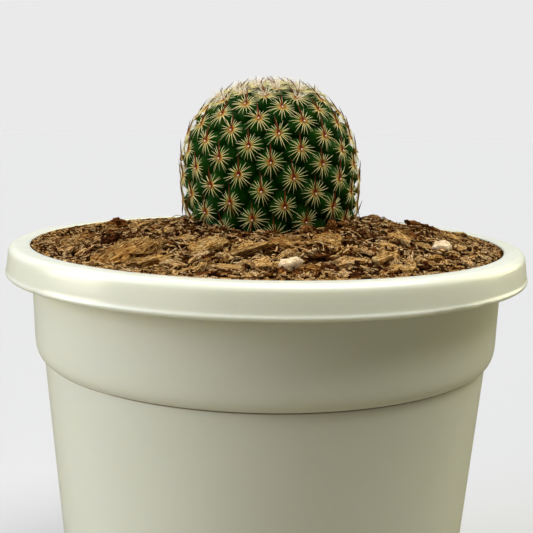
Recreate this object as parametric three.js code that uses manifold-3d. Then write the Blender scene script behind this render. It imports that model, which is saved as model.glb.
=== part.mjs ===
// Potted round cactus: a spiny globular cactus in bark compost, in a round plastic nursery pot.
// Millimetres, +Z up. The origin is at the centre of the pot's underside; the front faces -Y.
import * as THREE from 'three';
import { mergeVertices } from 'three/addons/utils/BufferGeometryUtils.js';
import { ConvexGeometry } from 'three/addons/geometries/ConvexGeometry.js';
import Module from 'manifold-3d';

// Pot, a single moulding with a collar, a step and a downturned rim.
const POT_HEIGHT = 128;
const POT_SIDES = 48;
const WALL = 1.5;
const FOOT_RADIUS = 57.3;
const BODY_TOP_RADIUS = 65.0;
const STEP_BELOW_RIM = 31.7;
const COLLAR_RADIUS = 67.9;
const RIM_RADIUS = 75;
const RIM_DROP = 7.7;
const MOUTH_RADIUS = 68.2;
const FLOOR = 4.6;
const DRAIN_HOLES = 6;
const DRAIN_RADIUS = 4.5;
const DRAIN_CIRCLE = 38;

// Clearance between pieces that touch.
const GAP = 0.3;

// Soil surface, measured from the rim's top plane.
const SOIL_EDGE_RADIUS = 67.1;
const SOIL_EDGE = -2.6;
const SOIL_HEAP = 1.9;
const SOIL_RISE = 9.2;
const SOIL_RISE_RUN = 41;
const SOIL_BACK_DROP = 1.2;
const LOOSE_CHIPS = 66;

// Cactus body. Its tubercle tips lie on a superellipse of revolution about a leaning axis.
const CACTUS_CENTRE = new THREE.Vector3(0.6, -0.2, POT_HEIGHT + 17.1);
const CACTUS_LEAN_LEFT = 0.084;
const CACTUS_LEAN_FRONT = 0.055;
const CACTUS_RADIUS = 26.0;
const CACTUS_TOP = 27.9;
const CACTUS_ROOT = 27;
const CACTUS_POWER = 2.41;
const GROOVE_DEPTH = 3.4;

// Tubercle spiral: a divergence angle, and a spacing that widens away from the crown.
const DIVERGENCE = THREE.MathUtils.degToRad(-137.456);
const FIRST_ANGLE = THREE.MathUtils.degToRad(140.73);
const CROWN_SPACING = 3.3;
const SIDE_SPACING = 8.26;
const SPACING_RUN = 10.9;

// Spines.
const RADIAL_LENGTH = 4.0;
const RADIAL_ROOT = 0.62;
const CENTRAL_LENGTH = 6.0;
const CENTRAL_RADIUS = 0.24;

const wasm = await Module();
wasm.setup();

function seededDraw(seed) {
  let state = seed;
  return () => {
    state = (state + 0x6d2b79f5) | 0;
    let t = Math.imul(state ^ (state >>> 15), 1 | state);
    t = (t + Math.imul(t ^ (t >>> 7), 61 | t)) ^ t;
    return ((t ^ (t >>> 14)) >>> 0) / 4294967296;
  };
}

function toSolid(geometry) {
  const bare = geometry.clone();
  bare.deleteAttribute('normal');
  bare.deleteAttribute('uv');
  const welded = mergeVertices(bare, 1e-4);
  return new wasm.Manifold(new wasm.Mesh({
    numProp: 3,
    vertProperties: new Float32Array(welded.attributes.position.array),
    triVerts: new Uint32Array(welded.index.array),
  }));
}

function toMesh(name, solid, color, roughness) {
  const data = solid.getMesh();
  const geometry = new THREE.BufferGeometry();
  const positions = new Float32Array(data.numVert * 3);
  for (let i = 0; i < data.numVert; i += 1) {
    for (let k = 0; k < 3; k += 1) {
      positions[i * 3 + k] = data.vertProperties[i * data.numProp + k];
    }
  }
  geometry.setAttribute('position', new THREE.BufferAttribute(positions, 3));
  geometry.setIndex(new THREE.BufferAttribute(new Uint32Array(data.triVerts), 1));
  geometry.computeVertexNormals();
  const mesh = new THREE.Mesh(geometry, new THREE.MeshStandardMaterial({ color, roughness }));
  mesh.name = name;
  return mesh;
}

// A lathe about +Z. The profile lists [radius, height] and starts and ends on the axis.
function turned(profile, sides) {
  const points = profile.map(([r, z]) => new THREE.Vector2(r, z));
  const geometry = new THREE.LatheGeometry(points, sides);
  geometry.rotateX(Math.PI / 2);
  return geometry;
}

// The largest body of a solid: crumbs that a cut leaves loose are dropped.
function mainBody(solid) {
  const pieces = solid.decompose();
  pieces.sort((a, b) => b.volume() - a.volume());
  return pieces[0];
}

// Smooth, repeatable irregularity between -1 and 1.
function ripple(x, y, z, phase) {
  return (
    Math.sin(x * 1.3 + phase) * 0.4
    + Math.sin(y * 1.7 + x * 0.6 + phase * 2.1) * 0.35
    + Math.sin(z * 2.3 + y * 0.8 - x * 0.5 + phase * 3.7) * 0.25
  );
}

// Pot

function potOuterRadius(z) {
  const stepHeight = POT_HEIGHT - STEP_BELOW_RIM;
  return FOOT_RADIUS + ((BODY_TOP_RADIUS - FOOT_RADIUS) * z) / stepHeight;
}

// The inner wall from the floor up to the mouth, shared with the soil that fills it.
function innerWall() {
  const step = POT_HEIGHT - STEP_BELOW_RIM;
  return [
    [potOuterRadius(FLOOR) - WALL, FLOOR],
    [potOuterRadius(step) - WALL, step - 1.6],
    [COLLAR_RADIUS - WALL - 1.4, step + 2.0],
    [COLLAR_RADIUS - WALL - 0.5, step + 6.5],
    [COLLAR_RADIUS - WALL, POT_HEIGHT - 8],
    [MOUTH_RADIUS, POT_HEIGHT - 0.5],
  ];
}

function potSolid() {
  const step = POT_HEIGHT - STEP_BELOW_RIM;
  const top = POT_HEIGHT;
  const profile = [
    [0, 3],
    [49, 3],
    [51, 0],
    [FOOT_RADIUS - 1.2, 0],
    [potOuterRadius(1.2), 1.2],
    [potOuterRadius(step), step],
    [COLLAR_RADIUS - 2.1, step + 0.5],
    [COLLAR_RADIUS - 1.3, step + 2.2],
    [COLLAR_RADIUS - 0.7, step + 4.7],
    [COLLAR_RADIUS - 0.45, step + 7.7],
    [COLLAR_RADIUS, top - 8],
    [COLLAR_RADIUS + 1.6, top - 1.9],
    [71.6, top - 1.9],
    [73.5, top - RIM_DROP],
    [RIM_RADIUS - 0.15, top - RIM_DROP],
    [RIM_RADIUS, top - RIM_DROP + 0.4],
    [RIM_RADIUS - 0.05, top - RIM_DROP + 0.95],
    [RIM_RADIUS - 0.45, top - RIM_DROP + 1.2],
    [RIM_RADIUS - 1.8, top - 1.4],
    [RIM_RADIUS - 2.4, top - 0.5],
    [RIM_RADIUS - 3.4, top],
    [MOUTH_RADIUS + 0.5, top],
  ].concat(innerWall().reverse(), [[0, FLOOR]]);
  let solid = toSolid(turned(profile, POT_SIDES));
  for (let i = 0; i < DRAIN_HOLES; i += 1) {
    const angle = ((i + 0.5) / DRAIN_HOLES) * Math.PI * 2;
    const drill = new THREE.CylinderGeometry(DRAIN_RADIUS, DRAIN_RADIUS, 8, 14);
    drill.rotateX(Math.PI / 2);
    drill.translate(Math.cos(angle) * DRAIN_CIRCLE, Math.sin(angle) * DRAIN_CIRCLE, FLOOR - 1);
    solid = solid.subtract(toSolid(drill));
  }
  return solid;
}

// Soil

// Height of the compost above the underside of the pot: a mound towards the plant, heaped up
// a little against the wall and settled at the back.
function soilHeight(x, y) {
  const radius = Math.hypot(x, y);
  const t = THREE.MathUtils.clamp((SOIL_EDGE_RADIUS - radius) / SOIL_RISE_RUN, 0, 1);
  const mound = SOIL_RISE * t * (1.35 - 0.35 * t);
  const heaped = SOIL_HEAP * Math.exp(-(((SOIL_EDGE_RADIUS - radius) / 4.5) ** 2));
  const shoulder = 0.6 * Math.exp(-((x - 50) ** 2 + (y - 18) ** 2) / 300);
  const settled = SOIL_BACK_DROP * THREE.MathUtils.clamp(y / 30, 0, 1);
  const edgeFade = THREE.MathUtils.clamp((SOIL_EDGE_RADIUS - radius) / 6, 0, 1);
  const lumps = 0.8 * ripple(x * 0.42, y * 0.42, (x + y) * 0.2, 1.7);
  const uneven = 0.02 * x + shoulder + lumps - settled;
  return POT_HEIGHT + SOIL_EDGE + mound + heaped + edgeFade * uneven;
}

function soilMound() {
  const rings = [61.5, 56, 50.5, 45, 40, 35.5, 31, 27.5, 22];
  const wall = innerWall().map(([r, z]) => [r - GAP, z]);
  wall[0][1] = FLOOR + GAP;
  wall[wall.length - 1] = [SOIL_EDGE_RADIUS, POT_HEIGHT + SOIL_EDGE + SOIL_HEAP];
  const profile = [[0, FLOOR + GAP]].concat(
    wall,
    rings.map((r) => [r, POT_HEIGHT + 1]),
    [[0, POT_HEIGHT + 1]],
  );
  const geometry = turned(profile, POT_SIDES);
  const position = geometry.attributes.position;
  for (let i = 0; i < position.count; i += 1) {
    const x = position.getX(i);
    const y = position.getY(i);
    if (position.getZ(i) > POT_HEIGHT) {
      position.setZ(i, soilHeight(x, y) + 0.7 * ripple(x * 3.1, y * 3.7, 0, 5));
    }
  }
  return toSolid(geometry);
}

// A flake of bark: a box with worn ends, a bow along its length and an uneven skin.
function barkGeometry(length, width, thickness, bow, phase, cuts) {
  const geometry = new THREE.BoxGeometry(length, width, thickness, cuts[0], cuts[1], 1);
  const position = geometry.attributes.position;
  for (let i = 0; i < position.count; i += 1) {
    const x = position.getX(i);
    const y = position.getY(i);
    const z = position.getZ(i);
    const along = (2 * x) / length;
    const narrow = 1 - 0.38 * along * along + 0.16 * ripple(x, 0, 3, phase);
    const side = 0.12 * width * ripple(x * 0.8, y * 0.9, 0, phase + 4);
    const skin = 0.3 * thickness * ripple(x, y, z, phase + 9);
    position.setXYZ(
      i,
      x + 0.1 * length * ripple(y * 1.4, z, x, phase + 2),
      y * narrow + side,
      z * (1 - 0.35 * along * along) + skin + bow * (1 - along * along),
    );
  }
  return geometry;
}

// Lays a flake on the soil: turned, tipped and following the local slope.
function laid(geometry, x, y, turn, tip, roll, lift) {
  const reach = 2.5;
  const slopeX = (soilHeight(x + reach, y) - soilHeight(x - reach, y)) / (2 * reach);
  const slopeY = (soilHeight(x, y + reach) - soilHeight(x, y - reach)) / (2 * reach);
  const up = new THREE.Vector3(-slopeX, -slopeY, 1).normalize();
  const lay = new THREE.Quaternion().setFromUnitVectors(new THREE.Vector3(0, 0, 1), up);
  const own = new THREE.Quaternion().setFromEuler(new THREE.Euler(roll, tip, turn, 'ZYX'));
  geometry.applyQuaternion(lay.multiply(own));
  geometry.translate(x, y, soilHeight(x, y) + lift);
  return geometry;
}

// The large pieces that lie on the compost, each a piece of its own.
const LARGE_PIECES = [
  { name: 'bark_slab_front_left', at: [-36.5, -44], size: [17, 8.5, 1.6], bow: 0.8, turn: 18, roll: 9, tint: 0x8a6a40 },
  { name: 'bark_stick_front_left', at: [-28.5, -50.5], size: [17.5, 2.8, 1.7], bow: 1.2, turn: 20, roll: 12, tint: 0x7a5f3c },
  { name: 'bark_lump_back_left', at: [-45, 2], size: [5.2, 4.2, 2.6], bow: 0.3, turn: 12, roll: 0, tint: 0x3a2818 },
  { name: 'bark_lump_left', at: [-42, -25.3], size: [5, 4, 2.6], bow: 0.2, turn: -14, roll: 5, tint: 0x1d140f },
  { name: 'bark_slab_back_right', at: [50, 9.5], size: [15, 7.5, 1.2], bow: 0.6, turn: 20, roll: 4, tint: 0x3b2a1b },
  { name: 'bark_slab_right', at: [58.5, 1], size: [7, 4.5, 1], bow: 0.4, turn: 10, roll: -6, tint: 0x8f6f4c },
  { name: 'perlite_right', at: [45.5, -31.2], size: [4.8, 3.8, 2.8], bow: 0.3, turn: 30, roll: 0, tint: 0xd8cba0 },
  { name: 'bark_stick_right', at: [28.6, -47.7], size: [9.5, 2.5, 1.8], bow: 0.6, turn: 46, roll: 10, tint: 0xa98a5c },
  { name: 'bark_chip_front_right', at: [32.3, -53.9], size: [6.2, 3.6, 1.3], bow: 0.3, turn: 4, roll: 6, tint: 0xa58c66 },
  { name: 'perlite_front', at: [6.3, -54.8], size: [4.9, 3.3, 2.3], bow: 0.3, turn: 25, roll: 0, tint: 0xc9b084 },
  { name: 'bark_chip_middle_right', at: [15.5, -36.6], size: [7.2, 5.4, 1.7], bow: 0.4, turn: -12, roll: 6, tint: 0x9a7b45 },
  { name: 'bark_chip_front', at: [4.8, -41], size: [8, 4.6, 1.5], bow: 0.5, turn: 8, roll: 9, tint: 0x92703f },
  { name: 'bark_chip_middle_left', at: [-14.4, -43], size: [9.5, 5.8, 1.6], bow: 0.6, turn: 8, roll: 7, tint: 0xa07f4e },
];

function nearLargePiece(x, y, reach) {
  return LARGE_PIECES.some(({ at, size }) => Math.hypot(x - at[0], y - at[1]) < size[0] * 0.42 + reach);
}

// The loose bark that stands out of the compost, sunk into it and fused with it.
function looseBark() {
  const draw = seededDraw(41);
  const pieces = [];
  while (pieces.length < LOOSE_CHIPS) {
    const angle = draw() * Math.PI * 2;
    const radius = 31.5 + 30 * Math.sqrt(draw());
    const x = Math.cos(angle) * radius;
    const y = Math.sin(angle) * radius;
    const length = 3.2 + 4.2 * draw();
    const width = length * (0.32 + 0.3 * draw());
    const thickness = 1.0 + 1.1 * draw();
    const turn = draw() * Math.PI;
    const tip = (draw() - 0.5) * 0.5;
    const roll = (draw() - 0.5) * 0.7;
    const phase = draw() * 20;
    if (radius + length / 2 > SOIL_EDGE_RADIUS - 1.2 || nearLargePiece(x, y, length * 0.45)) {
      continue;
    }
    const flake = barkGeometry(length, width, thickness, 0.1, phase, [1, 1]);
    pieces.push(toSolid(laid(flake, x, y, turn, tip, roll, 0.05 + 0.25 * thickness)));
  }
  return pieces;
}

// Cactus

function tipRadius(z) {
  const reach = z > 0 ? CACTUS_TOP : CACTUS_ROOT;
  const t = Math.min(Math.abs(z) / reach, 1);
  return CACTUS_RADIUS * (1 - t ** CACTUS_POWER) ** (1 / CACTUS_POWER);
}

function tipNormal(z) {
  const reach = z > 0 ? CACTUS_TOP : CACTUS_ROOT;
  const r = Math.max(tipRadius(z), 0.01);
  const outwardPart = (r / CACTUS_RADIUS) ** (CACTUS_POWER - 1) / CACTUS_RADIUS;
  const upPart = (Math.sign(z) * (Math.abs(z) / reach) ** (CACTUS_POWER - 1)) / reach;
  return new THREE.Vector2(outwardPart, upPart).normalize();
}

// Walks down the body from the crown and drops a tubercle whenever the skin passed over
// is enough for one more.
function tubercles(lowest) {
  const steps = 6000;
  const found = [];
  let walked = 0;
  let count = -0.3;
  let lastRadius = 0;
  let lastZ = CACTUS_TOP;
  for (let i = 1; i <= steps; i += 1) {
    const angle = (i / steps) * Math.PI;
    const z = angle < Math.PI / 2 ? CACTUS_TOP * Math.cos(angle) : CACTUS_ROOT * Math.cos(angle);
    const radius = tipRadius(z);
    const stride = Math.hypot(radius - lastRadius, z - lastZ);
    walked += stride;
    const spacing = CROWN_SPACING
      + (SIDE_SPACING - CROWN_SPACING) * (1 - Math.exp(-walked / SPACING_RUN));
    count += (Math.PI * (radius + lastRadius) * stride) / (0.866 * spacing * spacing);
    lastRadius = radius;
    lastZ = z;
    while (count >= found.length) {
      const turn = FIRST_ANGLE + found.length * DIVERGENCE;
      const slope = tipNormal(z);
      const normal = new THREE.Vector3(
        Math.cos(turn) * slope.x,
        Math.sin(turn) * slope.x,
        slope.y,
      );
      const crownward = new THREE.Vector3(
        -Math.cos(turn) * slope.y,
        -Math.sin(turn) * slope.y,
        slope.x,
      );
      const tip = new THREE.Vector3(Math.cos(turn) * radius, Math.sin(turn) * radius, z);
      const lean = 0.15 + 0.75 * Math.min(1, walked / 22);
      found.push({ tip, normal, crownward, lean, index: found.length });
    }
    if (z < lowest) {
      break;
    }
  }
  return found;
}

function cactusPlacement() {
  return new THREE.Matrix4()
    .makeTranslation(CACTUS_CENTRE.x, CACTUS_CENTRE.y, CACTUS_CENTRE.z)
    .multiply(new THREE.Matrix4().makeRotationX(CACTUS_LEAN_FRONT))
    .multiply(new THREE.Matrix4().makeRotationY(-CACTUS_LEAN_LEFT));
}

// The hull over the tubercle tips gives each tip its neighbours. Halfway between tips the skin
// is pressed in to a saddle or a well. Below the soil it runs out smooth.
function tubercleRings(items) {
  const tips = items.map(({ tip }) => tip.clone());
  [-21, -24.5].forEach((z, ring) => {
    for (let i = 0; i < 10; i += 1) {
      const angle = ((i + ring * 0.5) / 10) * Math.PI * 2;
      const r = tipRadius(z);
      tips.push(new THREE.Vector3(Math.cos(angle) * r, Math.sin(angle) * r, z));
    }
  });
  tips.push(new THREE.Vector3(0, 0, -CACTUS_ROOT));
  const nearest = (point) => {
    let best = 0;
    tips.forEach((tip, i) => {
      if (tip.distanceTo(point) < tips[best].distanceTo(point)) {
        best = i;
      }
    });
    return best;
  };
  const pressed = (indices, share) => {
    const corners = indices.slice().sort((a, b) => a - b).map((i) => tips[i]);
    const middle = new THREE.Vector3();
    let span = 0;
    corners.forEach((corner, i) => {
      middle.add(corner);
      span += corner.distanceTo(corners[(i + 1) % corners.length]) / corners.length;
    });
    middle.divideScalar(corners.length);
    const shown = THREE.MathUtils.smoothstep(middle.z, -19, -13);
    const depth = share * Math.min(span / SIDE_SPACING, 1) * shown;
    return middle.addScaledVector(middle.clone().normalize(), -depth);
  };
  const rings = tips.map((tip) => ({ tip, pairs: [] }));
  const hull = new ConvexGeometry(tips).attributes.position;
  for (let i = 0; i < hull.count; i += 3) {
    const face = [0, 1, 2].map((k) => nearest(new THREE.Vector3().fromBufferAttribute(hull, i + k)));
    const well = pressed(face, GROOVE_DEPTH);
    for (let k = 0; k < 3; k += 1) {
      const [own, next, last] = [face[k], face[(k + 1) % 3], face[(k + 2) % 3]];
      const saddleNext = pressed([own, next], 0.72 * GROOVE_DEPTH);
      const saddleLast = pressed([own, last], 0.72 * GROOVE_DEPTH);
      rings[own].pairs.push([saddleNext, well], [well, saddleLast]);
    }
  }
  return rings;
}

// The free length of a radial spine: short of halfway to the nearest other tip.
function freeLength(items, item) {
  let nearest = Infinity;
  items.forEach(({ tip, index }) => {
    if (index !== item.index) {
      nearest = Math.min(nearest, tip.distanceTo(item.tip));
    }
  });
  return Math.min(RADIAL_LENGTH, 0.49 * nearest);
}

// One areole: radial spines drawn out around the tubercle's tip, and a bowed central spine
// on three feet. A radial spine that would meet the soil is drawn shorter.
function areole(item, pairs, reach, draw, soilBelow) {
  const { tip, normal, crownward } = item;
  const sideways = new THREE.Vector3().crossVectors(normal, crownward);
  const triangles = [];
  const rim = (point) => {
    const ray = point.clone().sub(tip).normalize();
    return tip.clone().addScaledVector(ray, RADIAL_ROOT * Math.min(1, reach / 3.2));
  };
  const bearing = (point) => {
    const ray = point.clone().sub(tip);
    return Math.atan2(ray.dot(sideways), ray.dot(crownward));
  };
  const around = (angle, radius, height) => tip.clone()
    .addScaledVector(crownward, Math.cos(angle) * radius)
    .addScaledVector(sideways, Math.sin(angle) * radius)
    .addScaledVector(normal, height);
  const thirdOf = (angle) => Math.floor(((angle + Math.PI * 4) % (Math.PI * 2)) / (Math.PI * 2 / 3)) % 3;
  const feet = [0, 1, 2].map((k) => around(((k + 0.5) * Math.PI * 2) / 3, CENTRAL_RADIUS, 0.5));
  const ordered = pairs
    .map(([from, to]) => {
      const [a, b] = [rim(from), rim(to)];
      return { from, to, a, b, angle: bearing(a.clone().add(b).multiplyScalar(0.5)) };
    })
    .sort((one, two) => one.angle - two.angle);
  ordered.forEach((wedge, i) => {
    const { from, to, a, b, angle } = wedge;
    triangles.push(a, from, to, a, to, b);
    const foot = feet[thirdOf(angle)];
    const aim = angle + (draw() - 0.5) * 0.12;
    const rise = 0.15 + 0.4 * draw();
    let length = reach * (0.86 + 0.14 * draw());
    let end = around(aim, length, rise);
    while (length > 1 && !soilBelow(end)) {
      length -= 0.15;
      end = around(aim, length, rise);
    }
    triangles.push(foot, a, end, foot, end, b, a, b, end);
    const nextFoot = feet[thirdOf(ordered[(i + 1) % ordered.length].angle)];
    if (nextFoot !== foot) {
      triangles.push(foot, b, nextFoot);
    }
  });
  const length = CENTRAL_LENGTH * (0.85 + 0.3 * draw()) * Math.min(1, reach / 3.4);
  const lean = item.lean * (0.85 + 0.3 * draw());
  const swing = (draw() - 0.5) * 0.25;
  const along = (share, bow) => normal.clone().multiplyScalar(length * (share * (1 - 0.75 * lean) + bow))
    .addScaledVector(crownward, length * share * lean * 0.97)
    .addScaledVector(sideways, length * share * swing);
  const waist = feet.map((foot) => foot.clone().lerp(tip, 0.25).add(along(0.5, 0.09)));
  const point = tip.clone().add(along(1, 0.03));
  for (let k = 0; k < 3; k += 1) {
    const next = (k + 1) % 3;
    triangles.push(feet[k], feet[next], waist[next], feet[k], waist[next], waist[k]);
    triangles.push(waist[k], waist[next], point);
  }
  return triangles;
}

function cactusSolid() {
  const place = cactusPlacement();
  const items = tubercles(-18.5);
  const draw = seededDraw(7);
  const clearOfSoil = (point) => {
    const world = point.clone().applyMatrix4(place);
    return world.z > soilHeight(world.x, world.y) + 0.9;
  };
  const triangles = [];
  tubercleRings(items).forEach(({ tip, pairs }, i) => {
    const root = tip.clone().applyMatrix4(place);
    if (i < items.length && root.z > soilHeight(root.x, root.y) + 1.2) {
      triangles.push(...areole(items[i], pairs, freeLength(items, items[i]), draw, clearOfSoil));
    } else {
      pairs.forEach(([from, to]) => triangles.push(tip, from, to));
    }
  });
  const geometry = new THREE.BufferGeometry().setFromPoints(triangles);
  geometry.applyMatrix4(place);
  return toSolid(geometry);
}

// The bowl in the soil that the plant sits in.
function plantingBowl() {
  const steps = 12;
  const profile = [[0, -CACTUS_ROOT - GAP]];
  for (let i = 1; i <= steps; i += 1) {
    const z = -CACTUS_ROOT * Math.cos((i / steps) * Math.PI * 0.5);
    profile.push([tipRadius(z) + GAP + 0.25, z - GAP * (1 - i / steps)]);
  }
  profile.push([CACTUS_RADIUS + GAP + 0.25, 20], [0, 20]);
  const bowl = turned(profile, 40);
  bowl.applyMatrix4(cactusPlacement());
  return toSolid(bowl);
}

// Assembly

const part = new THREE.Group();
part.name = 'potted_round_cactus';

part.add(toMesh('pot', potSolid(), 0xe9e8da, 0.35));

const bowl = plantingBowl();
const soil = mainBody(wasm.Manifold.union([soilMound(), ...looseBark()]).subtract(bowl));
part.add(toMesh('soil', soil, 0x4b3420, 0.95));

const raisedSoil = soil.translate([0, 0, GAP]);
LARGE_PIECES.forEach(({ name, at, size, bow, turn, roll, tint }, i) => {
  const radians = THREE.MathUtils.degToRad;
  const flake = barkGeometry(size[0], size[1], size[2], bow, i * 2.3 + 1, [4, 2]);
  laid(flake, at[0], at[1], radians(turn), 0, radians(roll), 0.35 * size[2]);
  const seated = toSolid(flake).subtract(soil).subtract(raisedSoil);
  part.add(toMesh(name, mainBody(seated), tint, 0.9));
});

part.add(toMesh('cactus', cactusSolid(), 0x2f6b34, 0.7));

export default part;
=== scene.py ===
"""Potted round cactus: dresses the solids of a small cactus in bark compost and a plastic pot.

Lengths inside the shape functions are millimetres, as in the part's own source, and become metres
when a mesh is made.
"""
import math

import bmesh
import bpy
import numpy as np
from bpy.props import FloatProperty, FloatVectorProperty, IntProperty, PointerProperty
from mathutils import Euler, Matrix, Vector, kdtree, noise


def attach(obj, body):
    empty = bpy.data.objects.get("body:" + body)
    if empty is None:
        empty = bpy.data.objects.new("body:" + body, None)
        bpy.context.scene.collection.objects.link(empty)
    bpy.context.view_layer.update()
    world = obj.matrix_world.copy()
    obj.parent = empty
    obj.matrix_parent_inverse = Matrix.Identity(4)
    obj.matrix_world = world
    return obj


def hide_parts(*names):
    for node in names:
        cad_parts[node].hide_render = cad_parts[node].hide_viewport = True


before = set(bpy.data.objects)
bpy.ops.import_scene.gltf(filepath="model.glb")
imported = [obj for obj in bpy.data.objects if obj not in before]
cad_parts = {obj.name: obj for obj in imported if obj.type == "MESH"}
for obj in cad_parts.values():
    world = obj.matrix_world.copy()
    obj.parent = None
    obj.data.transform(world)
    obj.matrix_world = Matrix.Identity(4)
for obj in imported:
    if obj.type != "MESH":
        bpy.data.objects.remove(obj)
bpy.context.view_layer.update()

bl_info = {
    "name": "Potted Round Cactus",
    "version": (1, 0, 0),
    "blender": (4, 5, 0),
    "location": "View3D > Sidebar > Cactus",
    "description": "Builds a round cactus in bark compost in a plastic nursery pot",
    "category": "Add Mesh",
}

MM = 0.001
TAU = 2 * math.pi

# Pot, in millimetres. Its body tapers from the foot to the step, where the collar begins.
POT_HEIGHT = 128.0
WALL = 1.5
FOOT_RADIUS = 57.3
FOOT_RING = 49.0
BODY_TOP_RADIUS = 65.0
STEP_BELOW_RIM = 31.7
STEP_HEIGHT = POT_HEIGHT - STEP_BELOW_RIM
COLLAR_RADIUS = 67.9
RIM_RADIUS = 75.0
RIM_DROP = 8.1
MOUTH_RADIUS = 68.2
UNDERSIDE = 3.0
FLOOR = 4.6
DRAIN_HOLES = 6
DRAIN_RADIUS = 4.5
DRAIN_CIRCLE = 38.0

# Soil: its edge, set from the pot's rim, is heaped a little at the wall. It rises to the plant and
# drops at the back.
SOIL_EDGE_RADIUS = 67.1
SOIL_EDGE = -2.6
SOIL_HEAP = 1.9
SOIL_RISE = 9.2
SOIL_RISE_RUN = 41.0
SOIL_BACK_DROP = 2.0
SOIL_GAP = 0.3
# Bits along the wall lie on a ring from this radius outwards.
BY_WALL = 64.4
BY_WALL_WIDTH = 3.2
# Numbers of bits that no setting holds; the chips are those of the part's own source.
LOOSE_CHIPS = 66
LOOSE_CRUMBS = 2800
WALL_CRUMBS = 420
WALL_SLIVERS = 760
LEFT_FIBRES = 130

# Cactus: a leaning superellipse of revolution. Its tubercles follow one spiral, and the distance
# between them grows from the crown to the side.
CACTUS_CENTRE = Vector((0.6, -0.2, POT_HEIGHT + 17.1))
CACTUS_LEAN_LEFT = 0.084
CACTUS_LEAN_FRONT = 0.055
CACTUS_RADIUS = 26.0
CACTUS_TOP = 27.9
CACTUS_ROOT = 27.0
CACTUS_POWER = 2.41
FOOT_MIDDLE = 1.4
DIVERGENCE = math.radians(-137.456)
FIRST_ANGLE = math.radians(140.73)
CROWN_SPACING = 3.3
SIDE_SPACING = 8.26
SPACING_RUN = 10.9
FULL_SPACING = 7.5
YOUNG_AREOLES = 26
# How far under the plant's middle the last areole may sit, and the last tubercle, in the compost.
LOWEST_AREOLE = -18.5
LOWEST_TUBERCLE = -24.0

# Faces around the compost and the plant.
SPUN_SIDES = 300

# Camera: focal length and width of the picture in pixels, film width in millimetres, and aim.
FOCAL_PIXELS = 844.5
PICTURE_PIXELS = 533
FILM_WIDTH = 36.0
CAMERA_TILT = math.radians(90 - 9.31)
CAMERA_ROLL = math.radians(1.10)

# The large pieces on the compost: place, size, bow, turn and roll in degrees, and a tone from 0,
# dark, to 1, pale.
LARGE_PIECES = (
    ("bark_slab_front_left", (-36.5, -44), (17, 8.5, 1.6), 0.8, 18, 9, 0.48),
    ("bark_stick_front_left", (-28.5, -50.5), (17.5, 2.8, 1.7), 1.2, 20, 12, 0.55),
    ("bark_lump_back_left", (-45, 2), (5.2, 4.2, 2.6), 0.3, 12, 0, 0.25),
    ("bark_lump_left", (-42, -25.3), (5, 3.4, 2.1), 0.2, -14, 5, 0.0),
    ("bark_slab_back_right", (50, 9.5), (15, 7.5, 1.2), 0.6, 20, 4, 0.28),
    ("bark_slab_right", (58.5, 1), (7, 4.5, 1), 0.4, 10, -6, 0.6),
    ("perlite_right", (45.5, -31.2), (4.8, 3.8, 2.8), 0.3, 30, 0, 1.0),
    ("bark_stick_right", (28.6, -47.7), (9.5, 2.5, 1.8), 0.6, 46, 10, 0.75),
    ("bark_chip_front_right", (32.3, -53.9), (6.2, 3.6, 1.3), 0.3, 4, 6, 0.72),
    ("perlite_front", (5.5, -55.8), (5.0, 3.3, 2.5), 0.3, 12, 0, 0.9),
    ("bark_chip_middle_right", (15.5, -36.6), (7.2, 5.4, 1.7), 0.4, -12, 6, 0.56),
    ("bark_chip_front", (4.8, -41), (8, 4.6, 1.5), 0.5, 8, 9, 0.47),
    ("bark_chip_middle_left", (-14.4, -43), (9.5, 5.8, 1.6), 0.6, 8, 7, 0.6),
)

# Single sticks among the flakes: place, length, width, thickness, bow, turn in degrees, and tone.
STICKS = (
    (-4.6, -47.8, 16, 2.1, 1.5, 1.4, 22, 0.55), (30, -38, 9, 2.0, 1.0, 0.5, -20, 0.75),
    (38, -20, 10, 3.4, 0.9, 0.4, 12, 0.3), (50, -18, 8, 3.0, 0.9, 0.4, -15, 0.22),
    (-22, -53, 7, 2.2, 1.1, 0.4, -10, 0.8), (-52, -12, 7, 3.0, 1.2, 0.3, 60, 0.5),
    (20, -53, 6.5, 3.0, 1.2, 0.3, 10, 0.85), (-9, -57, 8, 2.6, 1.2, 0.3, -3, 0.75),
    (52, -24, 6, 2.6, 1.0, 0.3, 40, 0.8), (42, -6, 9, 2.2, 0.8, 0.5, 5, 0.18),
    (-30, -16, 8, 2.4, 1.0, 0.4, 35, 0.42), (-52, -28, 8, 1.6, 0.9, 1.0, 75, 0.82),
    (34, 6, 8, 2.6, 0.9, 0.4, -10, 0.35), (-22, -34, 7, 3.2, 1.0, 0.4, 12, 0.62),
)

# The rounder bits against the foot of the plant and at the front: place, length, width, height
# and tone.
FALLEN_BITS = (
    (10.4, -27.4, 3.2, 2.9, 3.4, 0.36), (17.4, -21.6, 3.4, 2.6, 3.8, 0.28),
    (20.5, -20.0, 2.6, 2.2, 1.6, 0.3), (5.0, -53.6, 2.6, 2.0, 1.4, 0.98),
    (49.0, -31.3, 1.9, 1.5, 1.2, 1.0), (41.2, -42.6, 2.0, 1.6, 1.0, 0.95),
    (-20.0, -44.5, 2.2, 1.8, 1.2, 0.72), (-2.0, -56.0, 2.4, 1.7, 1.1, 0.8),
    (24.0, -41.0, 2.8, 2.0, 1.2, 0.7), (-27.0, -22.0, 3.0, 2.2, 1.3, 0.62),
)


# Settings.


class PotSettings(bpy.types.PropertyGroup):
    colour: FloatVectorProperty(
        name="Plastic", description="Base colour of the moulded plastic",
        subtype="COLOR", size=3, min=0, max=1, default=(0.84, 0.855, 0.755))
    roughness: FloatProperty(
        name="Roughness", description="Roughness of the clean plastic",
        subtype="FACTOR", min=0, max=1, default=0.2)
    sides: IntProperty(
        name="Sides", description="Faces around the pot", min=48, max=256, default=192)


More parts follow.
